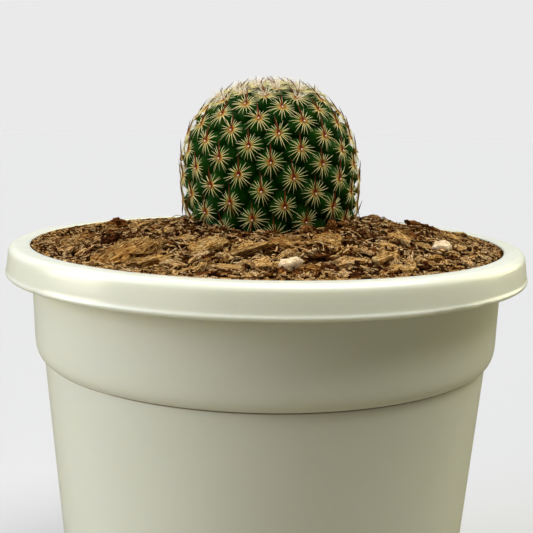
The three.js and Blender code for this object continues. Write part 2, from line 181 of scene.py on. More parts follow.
class SoilSettings(bpy.types.PropertyGroup):
    dark: FloatVectorProperty(
        name="Dark compost", description="Colour of the damp, dark matter",
        subtype="COLOR", size=3, min=0, max=1, default=(0.017, 0.0036, 0.0010))
    brown: FloatVectorProperty(
        name="Brown bark", description="Colour of the common bark",
        subtype="COLOR", size=3, min=0, max=1, default=(0.155, 0.052, 0.0095))
    tan: FloatVectorProperty(
        name="Tan bark", description="Colour of the dry, pale bark",
        subtype="COLOR", size=3, min=0, max=1, default=(0.455, 0.288, 0.100))
    flakes: IntProperty(
        name="Flakes", description="Number of small bark flakes", min=100, max=5000, default=3200)
    slivers: IntProperty(
        name="Slivers", description="Number of thin slivers of bark",
        min=100, max=9000, default=5200)
    fibres: IntProperty(
        name="Fibres", description="Number of loose fibres", min=0, max=1000, default=420)


class CactusSettings(bpy.types.PropertyGroup):
    skin: FloatVectorProperty(
        name="Skin", description="Green of the tubercles",
        subtype="COLOR", size=3, min=0, max=1, default=(0.0055, 0.0465, 0.0004))
    # Painted shade: the groove colour darkens the skin between the tubercles.
    groove: FloatVectorProperty(
        name="Groove", description="Green between the tubercles",
        subtype="COLOR", size=3, min=0, max=1, default=(0.0024, 0.027, 0.0003))
    groove_depth: FloatProperty(
        name="Groove depth", description="Depth of the grooves between tubercles",
        unit="LENGTH", min=0, max=0.01, default=3.8 * MM)
    radial_spines: IntProperty(
        name="Radial spines", description="Radial spines in each areole", min=6, max=30, default=20)
    radial_length: FloatProperty(
        name="Radial length", description="Length of a radial spine on the side of the plant",
        unit="LENGTH", min=0, max=0.02, default=4.0 * MM)
    central_length: FloatProperty(
        name="Central length", description="Length of a central spine on the side of the plant",
        unit="LENGTH", min=0, max=0.03, default=5.2 * MM)


class StageSettings(bpy.types.PropertyGroup):
    floor: FloatVectorProperty(
        name="Floor", description="Colour of the paper on the floor",
        subtype="COLOR", size=3, min=0, max=1, default=(0.547, 0.544, 0.576))
    backdrop: FloatVectorProperty(
        name="Backdrop", description="Colour behind the object",
        subtype="COLOR", size=3, min=0, max=1, default=(0.823, 0.823, 0.823))
    bounce: FloatVectorProperty(
        name="Bounce", description="Colour of the light that the floor throws back",
        subtype="COLOR", size=3, min=0, max=1, default=(0.19, 0.175, 0.125))
    room: FloatVectorProperty(
        name="Room", description="Dim light from all round",
        subtype="COLOR", size=3, min=0, max=1, default=(0.012, 0.012, 0.010))
    mirrored: FloatVectorProperty(
        name="Mirrored", description="Colour of the surroundings in a glossy surface",
        subtype="COLOR", size=3, min=0, max=1, default=(0.36, 0.36, 0.35))
    window: FloatProperty(
        name="Window", description="Strength of the cool light at the left",
        min=0, max=5, default=0.392)
    sill: FloatProperty(
        name="Sill", description="Strength of the low light at the left",
        min=0, max=5, default=0.607)
    side: FloatProperty(
        name="Side", description="Strength of the low light at the left, in front",
        min=0, max=5, default=0.261)
    front: FloatProperty(
        name="Front", description="Strength of the high light in front",
        min=0, max=5, default=0.16)
    ceiling: FloatProperty(
        name="Ceiling", description="Strength of the high light at the right",
        min=0, max=5, default=1.006)
    garden: FloatProperty(
        name="Garden", description="Strength of the low, warm light at the right",
        min=0, max=5, default=0.338)
    distance: FloatProperty(
        name="Camera distance", description="From the pot's axis to the camera",
        unit="LENGTH", min=0.1, max=2, default=250.0 * MM)
    height: FloatProperty(
        name="Camera height", description="Camera above the pot's rim",
        unit="LENGTH", min=0, max=1, default=32.78 * MM)


# Repeatable draws and soft noise, the same as in the part's source.


def seeded_draw(seed):
    """A source of numbers from 0 to 1 that is the same each run."""
    state = [seed & 0xFFFFFFFF]

    def draw():
        state[0] = (state[0] + 0x6D2B79F5) & 0xFFFFFFFF
        s = state[0]
        t = ((s ^ (s >> 15)) * (1 | s)) & 0xFFFFFFFF
        mixed = ((t ^ (t >> 7)) * (61 | t)) & 0xFFFFFFFF
        t = ((t + mixed) & 0xFFFFFFFF) ^ t
        return ((t ^ (t >> 14)) & 0xFFFFFFFF) / 4294967296

    return draw


def ripple(x, y, z, phase):
    """Soft noise between -1 and 1, of three sines."""
    return (np.sin(x * 1.3 + phase) * 0.4
            + np.sin(y * 1.7 + x * 0.6 + phase * 2.1) * 0.35
            + np.sin(z * 2.3 + y * 0.8 - x * 0.5 + phase * 3.7) * 0.25)


def clamped(value):
    return min(1, max(0, value))


def around(angle, radius):
    """The place at an angle and a radius from the pot's axis."""
    return math.cos(angle) * radius, math.sin(angle) * radius


def spot(draw, width, inner=0.0):
    """A drawn place on a ring of that width about the inner radius, as x, y and radius."""
    angle = draw() * TAU
    radius = inner + width * math.sqrt(draw())
    return *around(angle, radius), radius


def roughened(own, height, scales, phase):
    """A pattern's vertices moved a little along their diagonal, by soft noise."""
    turned = (own[:, [axis]] * fine for axis, fine in zip((1, 2, 0), scales))
    return own + height * ripple(*turned, phase)


def rounded(unit, radius):
    """A pattern's vertices drawn out to a ball."""
    return unit / np.maximum(np.linalg.norm(unit, axis=1, keepdims=True), 1e-6) * radius


# Meshes.


def spun(profile, steps):
    """A lathe of (radius, height) pairs about +Z."""
    bm = bmesh.new()
    verts = [bm.verts.new((r, 0, z)) for r, z in profile]
    edges = [bm.edges.new(pair) for pair in zip(verts, verts[1:])]
    bmesh.ops.spin(bm, geom=verts + edges, cent=(0, 0, 0), axis=(0, 0, 1), angle=TAU,
                   steps=steps, use_merge=True)
    bmesh.ops.remove_doubles(bm, verts=bm.verts, dist=1e-4)
    return bm


def finished(name, bm, *, smooth=False, material=None, replaces=()):
    """Turns a bmesh in millimetres into a piece that rides on the part's one body."""
    bmesh.ops.scale(bm, vec=(MM, MM, MM), verts=bm.verts)
    mesh = bpy.data.meshes.new(name)
    bm.to_mesh(mesh)
    bm.free()
    mesh.polygons.foreach_set("use_smooth", [smooth] * len(mesh.polygons))
    piece = bpy.data.objects.new(name, mesh)
    bpy.context.scene.collection.objects.link(piece)
    if material:
        mesh.materials.append(material)
    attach(piece, "root")
    if replaces:
        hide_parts(*replaces)
    return piece


def point_values(piece, name, values):
    """Stores one number a vertex, for the material to read."""
    layer = piece.data.attributes.new(name, "FLOAT", "POINT")
    layer.data.foreach_set("value", np.asarray(values, dtype=np.float32))


def point_vectors(piece, name, values):
    """The same with one vector a vertex."""
    layer = piece.data.attributes.new(name, "FLOAT_VECTOR", "POINT")
    layer.data.foreach_set("vector", np.asarray(values, dtype=np.float32).ravel())


def grown(name, mesh, copies, material, layer, values):
    """A piece of the plant made of a pattern's copies, with a number at each of their vertices."""
    piece = finished(name, scattered(mesh, copies), smooth=True, material=material)
    point_values(piece, layer, np.concatenate(values))


def pattern(bm):
    """Freezes a small bmesh as the pattern that a scatter repeats; its mesh and its vertices."""
    mesh = bpy.data.meshes.new("pattern")
    bm.to_mesh(mesh)
    bm.free()
    coords = np.empty(len(mesh.vertices) * 3)
    mesh.vertices.foreach_get("co", coords)
    return mesh, coords.reshape(-1, 3)


def scattered(mesh, copies):
    """Repeats a pattern's mesh; each item of copies is its vertices where they go."""
    bm = bmesh.new()
    for coords in copies:
        mesh.vertices.foreach_set("co", np.ascontiguousarray(coords).ravel())
        bm.from_mesh(mesh)
    bpy.data.meshes.remove(mesh)
    return bm


def ball_pattern(subdivisions):
    """A ball one in radius."""
    bm = bmesh.new()
    bmesh.ops.create_icosphere(bm, subdivisions=subdivisions, radius=1)
    return pattern(bm)


def needle_pattern(sides, parts):
    """A tube one long and one in radius along +Z, closed at both ends."""
    bm = bmesh.new()
    bmesh.ops.create_cone(bm, cap_ends=True, segments=sides, radius1=1, radius2=1, depth=1)
    bmesh.ops.translate(bm, vec=(0, 0, 0.5), verts=bm.verts)
    upright = [e for e in bm.edges if abs(e.verts[0].co.z - e.verts[1].co.z) > 0.5]
    bmesh.ops.subdivide_edges(bm, edges=upright, cuts=parts - 1)
    return pattern(bm)


def block_pattern(cuts_x, cuts_y, cuts_z):
    """A unit block cut across each way."""
    bm = bmesh.new()
    bmesh.ops.create_cube(bm, size=1)
    for axis, cuts in ((0, cuts_x), (1, cuts_y), (2, cuts_z)):
        if cuts:
            along = [e for e in bm.edges if abs(e.verts[0].co[axis] - e.verts[1].co[axis]) > 0.9]
            bmesh.ops.subdivide_edges(bm, edges=along, cuts=cuts, use_grid_fill=True)
    return pattern(bm)


def frame_matrix(axis, bend):
    """Columns: bend, the third direction, axis."""
    axis = axis.normalized()
    bend = (bend - axis * axis.dot(bend)).normalized()
    third = axis.cross(bend)
    return np.array((bend, third, axis)).T


# Materials.


class Nodes:
    """Builds one node tree with short calls."""

    def __init__(self, tree):
        self.tree = tree

    def add(self, kind, **values):
        node = self.tree.nodes.new(kind)
        for key, value in values.items():
            setattr(node, key, value)
        return node

    def join(self, source, target):
        self.tree.links.new(source, target)

    def noise(self, vector, scale, detail=4.0, rough=0.55):
        node = self.add("ShaderNodeTexNoise")
        node.inputs["Scale"].default_value = scale
        node.inputs["Detail"].default_value = detail
        node.inputs["Roughness"].default_value = rough
        self.join(vector, node.inputs["Vector"])
        return node.outputs["Fac"]

    def ramp(self, factor, stops):
        node = self.add("ShaderNodeValToRGB")
        points = node.color_ramp.elements
        while len(points) < len(stops):
            points.new(0.5)
        for point, (place, colour) in zip(points, stops):
            point.position = place
            point.color = (*colour, 1)
        self.join(factor, node.inputs["Fac"])
        return node.outputs["Color"]

    def mix(self, factor, first, second, blend="MIX"):
        node = self.add("ShaderNodeMix", data_type="RGBA", blend_type=blend)
        self.put(node.inputs["Factor"], factor)
        self.put(node.inputs["A"], first)
        self.put(node.inputs["B"], second)
        return node.outputs["Result"]

    def math(self, operation, first, second):
        node = self.add("ShaderNodeMath", operation=operation)
        self.put(node.inputs[0], first)
        self.put(node.inputs[1], second)
        return node.outputs[0]

    def span(self, value, low, high, to_low=0.0, to_high=1.0):
        node = self.add("ShaderNodeMapRange")
        self.put(node.inputs["Value"], value)
        for key, number in (("From Min", low), ("From Max", high),
                            ("To Min", to_low), ("To Max", to_high)):
            self.put(node.inputs[key], number)
        return node.outputs["Result"]

    def varied(self, noise, low=0.0, high=1.0):
        """A noise mostly runs from 0.3 to 0.7; this brings it to low and high."""
        return self.span(noise, 0.3, 0.7, low, high)

    def attribute(self, name, output="Fac"):
        return self.add("ShaderNodeAttribute", attribute_name=name).outputs[output]

    def object_coordinates(self):
        return self.add("ShaderNodeTexCoord").outputs["Object"]

    def stretched(self, vector, scale):
        node = self.add("ShaderNodeMapping")
        node.inputs["Scale"].default_value = scale
        self.join(vector, node.inputs["Vector"])
        return node.outputs["Vector"]

    def bump(self, height, strength, distance):
        node = self.add("ShaderNodeBump")
        node.inputs["Strength"].default_value = strength
        node.inputs["Distance"].default_value = distance
        self.join(height, node.inputs["Height"])
        return node.outputs["Normal"]

    def group(self, tree, **values):
        node = self.add("ShaderNodeGroup", node_tree=tree)
        for key, value in values.items():
            self.put(node.inputs[key], value)
        return node

    def put(self, socket, value):
        if isinstance(value, bpy.types.NodeSocket):
            self.join(value, socket)
        elif isinstance(value, tuple):
            socket.default_value = (*value, 1)
        else:
            socket.default_value = value


def surface(name, **constants):
    """A material with a Principled shader; returns it, its builder and the shader's sockets."""
    material = bpy.data.materials.new(name)
    material.use_nodes = True
    tree = material.node_tree
    shader = tree.nodes["Principled BSDF"]
    for key, value in constants.items():
        shader.inputs[key.replace("_", " ")].default_value = value
    return material, Nodes(tree), shader.inputs


def group_tree(name, inputs, outputs):
    """An empty shader group with named sockets."""
    tree = bpy.data.node_groups.new(name, "ShaderNodeTree")
    for socket, kind, default in inputs:
        made = tree.interface.new_socket(socket, in_out="INPUT", socket_type=kind)
        if default is not None:
            made.default_value = default
    for socket, kind in outputs:
        tree.interface.new_socket(socket, in_out="OUTPUT", socket_type=kind)
    nodes = Nodes(tree)
    return tree, nodes, nodes.add("NodeGroupInput").outputs, nodes.add("NodeGroupOutput").inputs


def specks_group():
    """Scattered specks, as of dust or compost dirt: a mask from cell noise and soft patches."""
    name = "Specks"
    if name in bpy.data.node_groups:
        return bpy.data.node_groups[name]
    tree, nodes, given, out = group_tree(
        name,
        (("Vector", "NodeSocketVector", None), ("Scale", "NodeSocketFloat", 900.0),
         ("Amount", "NodeSocketFloat", 0.3)),
        (("Mask", "NodeSocketFloat"),))
    cells = nodes.add("ShaderNodeTexVoronoi", feature="F1")
    nodes.join(given["Vector"], cells.inputs["Vector"])
    nodes.join(given["Scale"], cells.inputs["Scale"])
    size = nodes.add("ShaderNodeSeparateColor")
    nodes.join(cells.outputs["Color"], size.inputs["Color"])
    radius = nodes.math("MULTIPLY", size.outputs["Red"], given["Amount"])
    dot = nodes.math("LESS_THAN", cells.outputs["Distance"], radius)
    patches = nodes.span(nodes.noise(given["Vector"], 60.0), 0.45, 0.62)
    nodes.join(nodes.math("MULTIPLY", dot, patches), out["Mask"])
    return tree


def grain_group():
    """Fibres that run along X of the given coordinate: streaks with softer bands between."""
    name = "Bark grain"
    if name in bpy.data.node_groups:
        return bpy.data.node_groups[name]
    tree, nodes, given, out = group_tree(
        name,
        (("Vector", "NodeSocketVector", None), ("Scale", "NodeSocketFloat", 1.0)),
        (("Streaks", "NodeSocketFloat"), ("Height", "NodeSocketFloat")))
    scaled = nodes.add("ShaderNodeVectorMath", operation="SCALE")
    nodes.join(given["Vector"], scaled.inputs[0])
    nodes.join(given["Scale"], scaled.inputs["Scale"])
    long_way = nodes.stretched(scaled.outputs["Vector"], (0.25, 2.2, 2.2))
    streaks = nodes.noise(long_way, 1.6, 5.0, 0.65)
    pits = nodes.noise(scaled.outputs["Vector"], 2.3, 5.0, 0.7)
    nodes.join(streaks, out["Streaks"])
    high = nodes.math("ADD", nodes.math("MULTIPLY", streaks, 0.7),
                      nodes.math("MULTIPLY", pits, 0.5))
    nodes.join(high, out["Height"])
    return tree


# Pot.


def pot_outer_radius(z):
    """The tapered body's outer radius, up to the step."""
    return FOOT_RADIUS + (BODY_TOP_RADIUS - FOOT_RADIUS) * z / STEP_HEIGHT


def arc(centre, radius, start, end, parts):
    """Points on an arc in the profile plane, in degrees from +R towards +Z."""
    points = []
    for i in range(parts + 1):
        angle = math.radians(start + (end - start) * i / parts)
        points.append((centre[0] + radius * math.cos(angle), centre[1] + radius * math.sin(angle)))
    return points


def pot_profile():
    """From the foot ring's inner edge, up the outside, over the rim and down the inside."""
    step, top, lip = STEP_HEIGHT, POT_HEIGHT, POT_HEIGHT - RIM_DROP
    # The foot ring and the tapered body.
    profile = [(FOOT_RING, UNDERSIDE), (FOOT_RING + 0.4, 2.6), (FOOT_RING + 1.7, 0.4),
               (FOOT_RING + 2.2, 0)]
    profile += arc((FOOT_RADIUS - 1.2, 1.2), 1.2, -90, -5, 6)
    profile += [(pot_outer_radius(z), z) for z in (4, 12, 24, 40, 60, 80, 92, step - 1.2)]
    # The crease under the collar.
    profile += [(BODY_TOP_RADIUS, step - 0.08), (BODY_TOP_RADIUS - 0.06, step + 0.05),
                (BODY_TOP_RADIUS - 0.38, step + 0.1), (BODY_TOP_RADIUS - 0.38, step + 0.28)]
    # The collar.
    profile += [(COLLAR_RADIUS - 2.3, step + 0.32), (COLLAR_RADIUS - 1.92, step + 0.65),
                (COLLAR_RADIUS - 1.5, step + 1.2), (COLLAR_RADIUS - 1.06, step + 2.1),
                (COLLAR_RADIUS - 0.74, step + 3.2), (COLLAR_RADIUS - 0.54, step + 4.7),
                (COLLAR_RADIUS - 0.44, step + 7), (COLLAR_RADIUS - 0.3, step + 13),
                (COLLAR_RADIUS, top - 8), (COLLAR_RADIUS + 0.5, top - 5),
                (COLLAR_RADIUS + 1.5, top - 2.2)]
    # The hollow under the rim.
    profile += [(RIM_RADIUS - 4.4, top - 1.9), (RIM_RADIUS - 3.4, top - 2.1),
                (RIM_RADIUS - 2.5, top - 4), (RIM_RADIUS - 1.7, lip + 0.1)]
    # The rim, from its lower lip to the flat top.
    profile += [(RIM_RADIUS - 1.4, lip), (RIM_RADIUS - 0.8, lip)]
    profile += arc((RIM_RADIUS - 0.8, lip + 0.8), 0.8, -70, 48, 7)
    profile += [(RIM_RADIUS - 0.37, lip + 1.8), (RIM_RADIUS - 0.43, top - 5.6),
                (RIM_RADIUS - 0.6, top - 4.3), (RIM_RADIUS - 0.76, top - 3)]
    profile += arc((RIM_RADIUS - 2.96, top - 2.05), 2.05, 9, 88, 9)
    profile += [(RIM_RADIUS - 3.8, top - 0.01), (RIM_RADIUS - 5, top - 0.02)]
    # The mouth's thin lip and the inside, down to the floor.
    profile += arc((MOUTH_RADIUS + 0.35, top - 0.37), 0.35, 92, 174, 6)
    profile += [(MOUTH_RADIUS - 0.3, top - 2), (COLLAR_RADIUS - WALL, top - 8),
                (COLLAR_RADIUS - 1.7, step + 14), (COLLAR_RADIUS - 2, step + 6.5),
                (COLLAR_RADIUS - 2.9, step + 2), (BODY_TOP_RADIUS - WALL, step - 1.6)]
    profile += [(pot_outer_radius(z) - WALL, z) for z in (70, 40, 15, FLOOR)]
    return profile


def ring_edges(bm, radius, z):
    """The edges of a level ring about the axis."""
    return [e for e in bm.edges
            if all(abs(math.hypot(v.co.x, v.co.y) - radius) < 1e-3 and abs(v.co.z - z) < 1e-3
                   for v in e.verts)]


def pot_mesh(sides):
    """Spins the wall, then closes the floor between the wall and the drainage holes."""
    bm = spun(pot_profile(), sides)
    holes = {UNDERSIDE: [], FLOOR: []}
    for z, loops in holes.items():
        for i in range(DRAIN_HOLES):
            middle = (*around((i + 0.5) / DRAIN_HOLES * TAU, DRAIN_CIRCLE), z)
            ring = bmesh.ops.create_circle(bm, segments=28, radius=DRAIN_RADIUS,
                                           matrix=Matrix.Translation(middle))["verts"]
            loops.append(list({e for v in ring for e in v.link_edges}))
    outer = {UNDERSIDE: ring_edges(bm, FOOT_RING, UNDERSIDE),
             FLOOR: ring_edges(bm, pot_outer_radius(FLOOR) - WALL, FLOOR)}
    for z, loops in holes.items():
        bmesh.ops.triangle_fill(bm, use_beauty=True,
                                edges=outer[z] + [e for loop in loops for e in loop])
    for low, high in zip(holes[UNDERSIDE], holes[FLOOR]):
        bmesh.ops.bridge_loops(bm, edges=low + high)
    bmesh.ops.recalc_face_normals(bm, faces=bm.faces)
    return bm


def settle_pot(bm):
    """Small unevenness of a real moulding: a slight wave, and flash nicks on the rim's lip."""
    lip = POT_HEIGHT - RIM_DROP
    # Nearer the axis than this, nothing moves.
    still = 60
    # Angle, width and depth.
    nicks = ((-2.42, 0.025, 0.25), (-0.93, 0.04, 0.28), (-0.80, 0.02, 0.25), (-1.02, 0.02, 0.2),
             (0.6, 0.03, 0.3), (1.9, 0.025, 0.25), (2.7, 0.04, 0.3))
    for vert in bm.verts:
        radius = math.hypot(vert.co.x, vert.co.y)
        if radius < still:
            continue
        angle = math.atan2(vert.co.y, vert.co.x)
        wave = 0.05 * math.sin(3 * angle + 0.7) + 0.03 * math.sin(7 * angle + vert.co.z * 0.05)
        on_rim = radius > RIM_RADIUS - 2
        near_lip = math.exp(-((vert.co.z - lip - 0.5) / 0.8) ** 2) if on_rim else 0
        nick = sum(depth * math.exp(-(((angle - place + math.pi) % TAU - math.pi) / width) ** 2)
                   for place, width, depth in nicks)
        shift = wave * min(1, (radius - still) / 8) * 0.6 - near_lip * nick
        scale = (radius + shift) / radius
        vert.co.x *= scale
        vert.co.y *= scale
        vert.co.z += near_lip * nick * 0.6


def plastic_material(settings):
    """Pale plastic, with compost dirt at the mouth, and dust and painted shade in the crease under
    the collar.
    """
    material, nodes, sockets = surface(
        "pot plastic", Specular_IOR_Level=0.5, Subsurface_Weight=0.5,
        Subsurface_Radius=(1.0, 0.92, 0.68), Subsurface_Scale=0.003)
    place = nodes.object_coordinates()
    split = nodes.add("ShaderNodeSeparateXYZ")
    nodes.join(place, split.inputs[0])
    height = split.outputs["Z"]
    across = nodes.add("ShaderNodeVectorMath", operation="LENGTH")
    nodes.join(nodes.stretched(place, (1, 1, 0)), across.inputs[0])
    inside = nodes.span(across.outputs["Value"], (MOUTH_RADIUS + 0.15) * MM,
                        (MOUTH_RADIUS + 0.55) * MM, 1.0, 0.0)

    base = tuple(settings.colour)
    shade = tuple(c * f for c, f in zip(base, (0.96, 0.965, 0.94)))
    colour = nodes.mix(nodes.varied(nodes.noise(place, 28.0, 3.0)), base, shade)

    # Specks of compost at the mouth, inside alone.
    dirt = nodes.group(specks_group(), Vector=place, Scale=700.0, Amount=0.24).outputs["Mask"]
    near_top = nodes.span(height, (POT_HEIGHT - 6) * MM, POT_HEIGHT * MM, 0.0, 0.8)
    dirt = nodes.math("MULTIPLY", nodes.math("MULTIPLY", dirt, near_top), inside)
    colour = nodes.mix(dirt, colour, (0.16, 0.10, 0.05))

    # A ragged stain where the compost meets the wall.
    ragged = nodes.math("ADD", height, nodes.varied(nodes.noise(place, 500.0), -MM, MM))
    stain = nodes.span(ragged, (POT_HEIGHT - 1.6) * MM, (POT_HEIGHT + 0.1) * MM, 0.85, 0.0)
    mouth = nodes.span(height, (POT_HEIGHT - 4.2) * MM, (POT_HEIGHT - 3.6) * MM)
    stain = nodes.math("MULTIPLY", nodes.math("MULTIPLY", stain, inside), mouth)
    colour = nodes.mix(stain, colour, (0.62, 0.43, 0.23))

    # Dust and painted shade in the crease: a dark line under the collar.
    step = STEP_HEIGHT
    crease_dust_and_shade = nodes.span(height, (step - 0.3) * MM, (step - 0.02) * MM, 0.0, 0.85)
    lip = nodes.span(height, (step + 0.36) * MM, (step + 0.5) * MM, 1.0, 0.0)
    colour = nodes.mix(nodes.math("MULTIPLY", crease_dust_and_shade, lip), colour, (0.17, 0.11, 0.06))

    nodes.join(colour, sockets["Base Color"])
    rough = nodes.span(nodes.noise(place, 220.0, 5.0, 0.7), 0.3, 0.75,
                       settings.roughness - 0.02, settings.roughness + 0.04)
    nodes.join(rough, sockets["Roughness"])
    wave = nodes.noise(nodes.stretched(place, (1, 1, 0.3)), 90.0, 2.0)
    nodes.join(nodes.bump(wave, 0.03, 0.001), sockets["Normal"])
    return material


# Soil.


def soil_height(x, y):
    """Height of the compost's top, before it is crumbled."""
    radius = np.hypot(x, y)
    t = np.clip((SOIL_EDGE_RADIUS - radius) / SOIL_RISE_RUN, 0, 1)
    mound = SOIL_RISE * t * (1.35 - 0.35 * t)
    heaped = SOIL_HEAP * np.exp(-((SOIL_EDGE_RADIUS - radius) / 4.5) ** 2)
    shoulder = 0.1 * np.exp(-((x - 50) ** 2 + (y - 18) ** 2) / 300)
    left_dip = np.exp(-((x + 33) ** 2 + (y - 16) ** 2) / 260)
    front_dip = 2.2 * np.exp(-(x / 18) ** 2 - ((y + 27) / 10) ** 2)
    settled = SOIL_BACK_DROP * np.clip(y / 30, 0, 1) + left_dip + front_dip
    fade = np.clip((SOIL_EDGE_RADIUS - radius) / 6, 0, 1)
    lumps = 0.8 * ripple(x * 0.42, y * 0.42, (x + y) * 0.2, 1.7)
    uneven = 0.02 * x + shoulder + lumps - settled
    return POT_HEIGHT + SOIL_EDGE + mound + heaped + fade * uneven


def from_foot(x, y):
    """Distance from the middle of the plant where it enters the compost."""
    return math.hypot(x - FOOT_MIDDLE, y)


def farness(y):
    """0 at the front, and 1 from the pot's middle to the back, where the top lies calmer."""
    return clamped((y + 25) / 20)


def wall_lift(lift, radius):
    """Height over the soil of a bit along the wall, a little more towards the pot's lip."""
    return lift + 0.25 * max(0, radius - 66.3)


def crumble(point, scale, power):
    """Rough noise, for the lumps of the bed."""
    return noise.fractal(point * scale, 0.7, 2.1, 4) * power


def soil_mesh():
    """A closed bed of compost: smooth where the pot hides it, crumbled on top."""
    step = STEP_HEIGHT
    inner = COLLAR_RADIUS - WALL
    rings = 88
    wall = [(0, FLOOR + SOIL_GAP), (pot_outer_radius(FLOOR) - WALL - SOIL_GAP, FLOOR + SOIL_GAP),
            (BODY_TOP_RADIUS - WALL - SOIL_GAP, step - 1.6), (inner - 1.7, step + 2),
            (inner - 0.8, step + 6.5), (inner - SOIL_GAP, POT_HEIGHT - 8),
            (SOIL_EDGE_RADIUS + 0.95, POT_HEIGHT + SOIL_EDGE + SOIL_HEAP + 0.4)]
    # The top starts level, over the rim, and then each vertex goes to its own height.
    top = [(SOIL_EDGE_RADIUS * (1 - i / rings), POT_HEIGHT + 1) for i in range(1, rings)]
    bm = spun([*wall, *top, (0, POT_HEIGHT + 1)], SPUN_SIDES)
    for vert in bm.verts:
        if vert.co.z > POT_HEIGHT:
            x, y = vert.co.x, vert.co.y
            fade = min(1, (SOIL_EDGE_RADIUS - math.hypot(x, y)) / 3)
            point = Vector((x, y, 3.0))
            rough = crumble(point, 0.28, 0.8) + crumble(point, 0.9, 0.45) - 0.25
            vert.co.z = float(soil_height(x, y)) + fade * rough
    bmesh.ops.recalc_face_normals(bm, faces=bm.faces)
    return bm


def bark_coords(unit, size, bow, phase):
    """The block's vertices as a flake of bark: worn ends, a bow and an uneven skin."""
    length, width, thickness = size
    x, y, z = (unit[:, i] * size[i] for i in range(3))
    along = 2 * x / length
    narrow = 1 - 0.38 * along * along + 0.16 * ripple(x, 0 * y, 3 + 0 * z, phase)
    side = 0.12 * width * ripple(x * 0.8, y * 0.9, 0 * z, phase + 4)
    skin = 0.3 * thickness * ripple(x, y, z, phase + 9)
    return np.column_stack((
        x + 0.1 * length * ripple(y * 1.4, z, x, phase + 2),
        y * narrow + side,
        z * (1 - 0.35 * along * along) + skin + bow * (1 - along * along)))


def sliver_coords(unit, length, wide, bend=0.0):
    """The needle laid down along X, flattened and bowed."""
    t = unit[:, 2]
    return np.column_stack(((t - 0.5) * length, unit[:, 0] * wide,
                            unit[:, 1] * wide * 0.55 + bend * length * t * (1 - t)))


def fibre_coords(unit, length, across, sway, rise):
    """The needle laid down along X, swaying sideways and arched up by rise."""
    t = unit[:, 2]
    return np.column_stack((t * length, unit[:, 0] * across + sway * length * (t * t - t),
                            unit[:, 1] * across + 4 * t * (1 - t) * rise))


def laid(coords, x, y, turn, tip, roll, lift):
    """Turned, tipped and following the local slope of the soil."""
    reach = 2.5
    slope_x = (soil_height(x + reach, y) - soil_height(x - reach, y)) / (2 * reach)
    slope_y = (soil_height(x, y + reach) - soil_height(x, y - reach)) / (2 * reach)
    up = Vector((-slope_x, -slope_y, 1)).normalized()
    lay = Vector((0, 0, 1)).rotation_difference(up).to_matrix()
    own = Euler((roll, tip, turn), "XYZ").to_matrix()
    return coords @ np.array(lay @ own).T + np.array((x, y, float(soil_height(x, y)) + lift))


def near_large_piece(x, y, reach):
    """Whether a flake of that reach would run into one of the large pieces."""
    return any(math.hypot(x - at[0], y - at[1]) < size[0] * 0.42 + reach
               for _, at, size, *_ in LARGE_PIECES)


def on_large_piece(x, y):
    """Whether a place is covered by one of the large pieces."""
    for _, at, size, _, turn, *_ in LARGE_PIECES:
        turned = math.radians(turn)
        across, back = x - at[0], y - at[1]
        along = across * math.cos(turned) + back * math.sin(turned)
        beside = back * math.cos(turned) - across * math.sin(turned)
        if (2.1 * along / size[0]) ** 2 + (2.1 * beside / size[1]) ** 2 < 1:
            return True
    return False


def bark_material(settings, name, pitted):
    """Bark whose tone comes from each flake's own number, grained along the flake, with painted
    shade in the grain's pits.
    """
    material, nodes, sockets = surface(name, Specular_IOR_Level=0.03)
    dark, brown, tan = (tuple(c) for c in (settings.dark, settings.brown, settings.tan))
    pale = tuple(min(1, c * 1.25 + 0.12) for c in tan)
    along = nodes.attribute("grain", "Vector")
    grain = nodes.group(grain_group(), Vector=along, Scale=1.0)
    value = nodes.attribute("tone")
    shifted = nodes.math("ADD", value, nodes.varied(grain.outputs["Streaks"], -0.38, 0.38))
    colour = nodes.ramp(shifted, ((0.0, dark), (0.35, brown), (0.68, tan), (1.0, pale)))
    drift = nodes.noise(nodes.object_coordinates(), 240.0, 2.0)
    warm = nodes.mix(1.0, colour, (1.05, 0.95, 0.78), "MULTIPLY")
    cool = nodes.mix(1.0, colour, (0.96, 1.0, 1.08), "MULTIPLY")
    colour = nodes.mix(nodes.span(drift, 0.42, 0.62), warm, cool)
    # Painted shade in the grain's pits: the low parts are darkened towards the pitted colour, and
    # the raised parts made a little lighter.
    pits = nodes.span(grain.outputs["Height"], 0.51, 0.67)
    colour = nodes.mix(1.0, colour, nodes.mix(pits, pitted, (1.2, 1.2, 1.2)), "MULTIPLY")
    nodes.join(colour, sockets["Base Color"])
    nodes.join(nodes.varied(grain.outputs["Streaks"], 0.65, 0.95), sockets["Roughness"])
    nodes.join(nodes.bump(grain.outputs["Height"], 0.9, 0.0007), sockets["Normal"])
    return material


def compost_material(settings):
    """Dark, damp compost with crumbs of bark."""
    material, nodes, sockets = surface("compost", Specular_IOR_Level=0.0, Roughness=0.95)
    dark, brown, tan = (tuple(c) for c in (settings.dark, settings.brown, settings.tan))
    place = nodes.object_coordinates()
    crumbs = nodes.add("ShaderNodeTexVoronoi", feature="F1")
    crumbs.inputs["Scale"].default_value = 900.0
    nodes.join(place, crumbs.inputs["Vector"])
    patch = nodes.add("ShaderNodeSeparateColor")
    nodes.join(crumbs.outputs["Color"], patch.inputs["Color"])
    tone = nodes.math("MULTIPLY", patch.outputs["Red"], nodes.noise(place, 120.0, 5.0))
    damp = tuple(b * 0.3 + t * 0.1 for b, t in zip(brown, tan))
    colour = nodes.ramp(tone, ((0.0, dark), (0.42, damp), (0.85, tan)))
    fine = nodes.noise(place, 2600.0, 4.0, 0.7)
    colour = nodes.mix(nodes.span(fine, 0.4, 0.6, 0.0, 0.6), colour, dark)
    nodes.join(colour, sockets["Base Color"])
    height = nodes.math("SUBTRACT", fine, crumbs.outputs["Distance"])
    nodes.join(nodes.bump(height, 0.8, 0.0006), sockets["Normal"])
    return material


# Form of the cactus.


